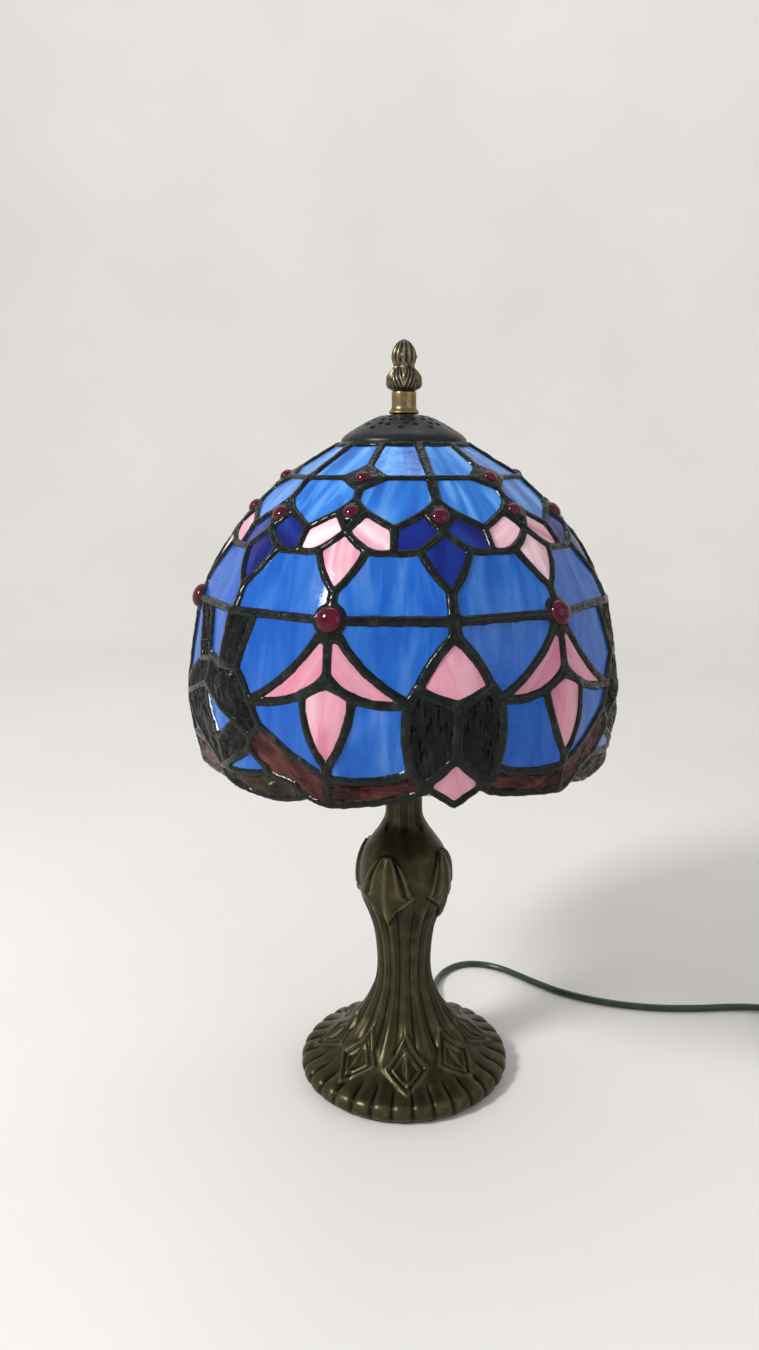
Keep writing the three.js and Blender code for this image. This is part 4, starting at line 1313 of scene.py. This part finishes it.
def foot_diamonds(bearing, radius, height):
    """Nested diamonds with a crest, and how far inside one each point is."""
    pitch = 360 / DIAMONDS
    off = (bearing - 2 + pitch / 2) % pitch - pitch / 2
    across = np.radians(off) * radius
    v = (radius - 34.6) / 11.2
    near = np.abs(across) / 10.6 + np.abs(v)
    ridges = 0.9 * bump_line(near - 1.0, 0.12) + 0.75 * bump_line(near - 0.62, 0.09)
    crest = 0.8 * bump_line(across, 1.0) * (near < 0.62) * (1 - near)
    foot = height < 40
    return (ridges + crest - 0.25 * (near < 0.85)) * foot, (near < 1.0) & foot


def flutes(bearing, radius, height, inside):
    """Upright flutes that fan out between the diamonds."""
    wave = np.abs(np.cos(np.radians(bearing - 2) * FLUTES / 2)) ** 0.7
    window = smoothstep(17, 27, height) * (1 - smoothstep(88, 104, height))
    fan = bump_line(((bearing + 20.5) % 45 - 22.5) * np.radians(1) * radius, 1.1) \
        * smoothstep(26, 32, radius) * (1 - smoothstep(42, 46, radius)) * (height < 40)
    size = np.clip(radius / 15, 0.9, 1.6)
    crest = 0.3 * bump_line(wave - 1, 0.06)
    return 1.1 * size * (wave + crest - 0.66) * window * np.where(inside, 0.2, 1) + 0.7 * fan


def bulb_leaves(bearing, height):
    pitch = 360 / LEAVES
    off = np.abs((bearing + 24 + pitch / 2) % pitch - pitch / 2)
    above = 34 * np.clip((LEAF_TIP - height) / (LEAF_TIP - LEAF_HOOK), 0, 1) ** 0.38
    below = 40 * np.clip((height - LEAF_STEM) / (LEAF_HOOK - LEAF_STEM), 0, 1) ** 1.6
    near = off / np.maximum(np.where(height > LEAF_HOOK, above, below), 1e-3)
    on = (height > LEAF_STEM) & (height < LEAF_TIP)
    upper = smoothstep(LEAF_HOOK - 2, LEAF_HOOK + 1, height)
    body = 0.9 * (1 - smoothstep(0.92, 1.1, near)) * on
    ridge = (0.7 * bump_line(near - 0.92, 0.09) + 0.7 * upper * bump_line(near - 0.54, 0.1)) * on
    stem = 0.75 * bump_line(off, 3.2) * smoothstep(LEAF_STEM, LEAF_STEM + 4, height) \
        * (1 - smoothstep(LEAF_TIP - 6, LEAF_TIP - 1, height))
    hollow = -0.9 * upper * bump_line(near - 0.73, 0.08) * on
    return body + ridge + stem + hollow


def neck_flutes(bearing, height):
    pitch = 45
    off = np.abs((bearing + pitch / 2) % pitch - pitch / 2)
    end = 131 + (off / 12) ** 2 * 3
    groove = (1 - smoothstep(9, 14, off)) * smoothstep(end, end + 2.5, height) \
        * (1 - smoothstep(147, 149.5, height))
    return -0.55 * groove


def stand_relief(bearing, radius, height):
    diamonds, inside = foot_diamonds(bearing, radius, height)
    return rim_lobes(bearing, radius, height) + diamonds \
        + flutes(bearing, radius, height, inside) + bulb_leaves(bearing, height) \
        + neck_flutes(bearing, height)


def resampled(line, step):
    gone = np.concatenate([[0], np.cumsum(np.hypot(*np.diff(line, axis=0).T))])
    at = np.linspace(0, gone[-1], int(gone[-1] / step) + 1)
    return np.stack([np.interp(at, gone, line[:, 0]), np.interp(at, gone, line[:, 1])], -1)


def make_stand():
    """One casting: lobed foot, fluted waist, leafed bulb and neck."""
    line = resampled(catmull(STAND_OUTSIDE, 8), 0.85)
    slope = np.gradient(line, axis=0)
    slope /= np.linalg.norm(slope, axis=1, keepdims=True)
    bearing = np.arange(STAND_COLUMNS) * 360 / STAND_COLUMNS
    points = []
    relief = []
    for (r, z), (dr, dz) in zip(line, slope):
        lift = stand_relief(bearing, np.full_like(bearing, r), np.full_like(bearing, z))
        relief += list(np.clip(0.42 + lift * 0.3, 0, 1))
        reach = r + lift * dz
        tall = z - lift * dr
        points += [on_bearing(b, d, h) for b, d, h in zip(bearing, reach, tall)]
    for r, z in STAND_INSIDE:
        points += [on_bearing(b, r, z) for b in bearing]
        relief += [0.3] * STAND_COLUMNS
    rows = len(line) + len(STAND_INSIDE)
    faces = []
    for k in range(rows):
        a, b = k * STAND_COLUMNS, (k + 1) % rows * STAND_COLUMNS
        for s in range(STAND_COLUMNS):
            t = (s + 1) % STAND_COLUMNS
            faces.append((a + s, a + t, b + t, b + s))
    obj = mesh_object("leaf_cast_stand", points, faces, BRONZE)
    keep_relief(obj, relief)
    crease(obj, 70)
    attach(obj, "lamp")
    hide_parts("stand_casting")


make_stand()


# ---- bulb ---------------------------------------------------------------------------------

def make_bulb():
    low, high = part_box("bulb_glass")
    bottom = low.z / MM
    outline = [(0, 268), (7, 266.9), (15.5, 262.4), (21.6, 255), (24, 244), (22.2, 234), (18.4, 225),
               (15, 217.5), (13, 211), (12.4, bottom + 1), (11.6, bottom + 0.1)]
    line = [tuple(p) for p in catmull(outline, 6)]
    obj = turned("bulb_envelope", line + [(0, bottom + 0.1)], BULB_WHITE, 64, 0, closed=False)
    crease(obj, 40)
    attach(obj, "bulb_glass")
    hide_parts("bulb_glass")


make_bulb()


# ---- the frame's own pieces ---------------------------------------------------------------

FINISHES = {
    FELT: ["felt_pad"],
    IRON: ["foot_weight"],
    RUBBER: ["cord_bush"],
    STEEL: ["threaded_rod", "rod_washer", "rod_nut", "holder_nut", "harp_saddle", "seat_washer"],
    BRASS: ["harp_bow", "harp_stud", "holder_cup", "holder_shell", "screw_shell", "centre_contact",
            "bulb_base", "plug_blade_left", "plug_blade_right"],
    PORCELAIN: ["holder_core"],
    LEAD_GREEN: ["inner_lead"],
    SWITCH_BLACK: ["switch_bottom", "switch_top", "switch_rocker", "plug_body"],
}


def paint_frame():
    for material, names in FINISHES.items():
        for name in names:
            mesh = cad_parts[name].data
            mesh.materials.clear()
            mesh.materials.append(material)


paint_frame()


# ---- floor and light ----------------------------------------------------------------------

BOWL_FLAT = 1150    # where the floor begins to curve up into the backdrop, all round
BOWL_CURVE = 650
BOWL_TOP = 2000


def make_stage():
    paint = Paint("floor", (0.72, 0.70, 0.68), roughness=0.6)
    place = paint.coords((1, 1, 1))
    paint.color(paint.ramp(paint.noise(place, 3, 3), [(0.3, (0.70, 0.685, 0.665)),
                                                      (0.7, (0.745, 0.73, 0.71))]))
    outline = [(0, 0), (400, 0), (BOWL_FLAT, 0)]
    for step in range(1, 17):
        angle = math.pi / 2 * step / 16
        outline.append((BOWL_FLAT + BOWL_CURVE * math.sin(angle), BOWL_CURVE * (1 - math.cos(angle))))
    outline.append((BOWL_FLAT + BOWL_CURVE, BOWL_TOP))
    around = 96
    points = [on_bearing(360 * s / around, r, z) for r, z in outline for s in range(around)]
    faces = [(k * around + s, k * around + (s + 1) % around, (k + 1) * around + (s + 1) % around,
              (k + 1) * around + s) for k in range(1, len(outline) - 1) for s in range(around)]
    faces.append([around + s for s in reversed(range(around))])
    mesh_object("floor", points, faces, paint.material)


def soft_light(name, place, aim, size, power, color=(1, 1, 1)):
    data = bpy.data.lights.new(name, "AREA")
    data.shape = "RECTANGLE"
    data.size, data.size_y = size
    data.energy = power
    data.color = color
    light = bpy.data.objects.new(name, data)
    light.location = place
    light.rotation_euler = (Vector(aim) - Vector(place)).to_track_quat("-Z", "Y").to_euler()
    light.visible_camera = False
    SCENE.collection.objects.link(light)


def make_lights():
    world = bpy.data.worlds.new("studio")
    world.use_nodes = True
    world.node_tree.nodes["Background"].inputs["Color"].default_value = (0.93, 0.94, 0.96, 1)
    world.node_tree.nodes["Background"].inputs["Strength"].default_value = 0.62
    SCENE.world = world
    aim = (0, 0, 0.2)
    soft_light("key", (-1.1, -0.75, 1.15), aim, (0.32, 0.32), 24, (1, 0.985, 0.96))
    soft_light("fill", (0.744, -0.62, 0.572), aim, (0.62, 0.62), 1.15, (0.95, 0.97, 1))
    soft_light("wash", (0.0, 0.7, 2.0), (0, 1.5, 0.3), (1.4, 0.4), 7)


make_stage()
make_lights()
SCENE.view_settings.view_transform = "Standard"
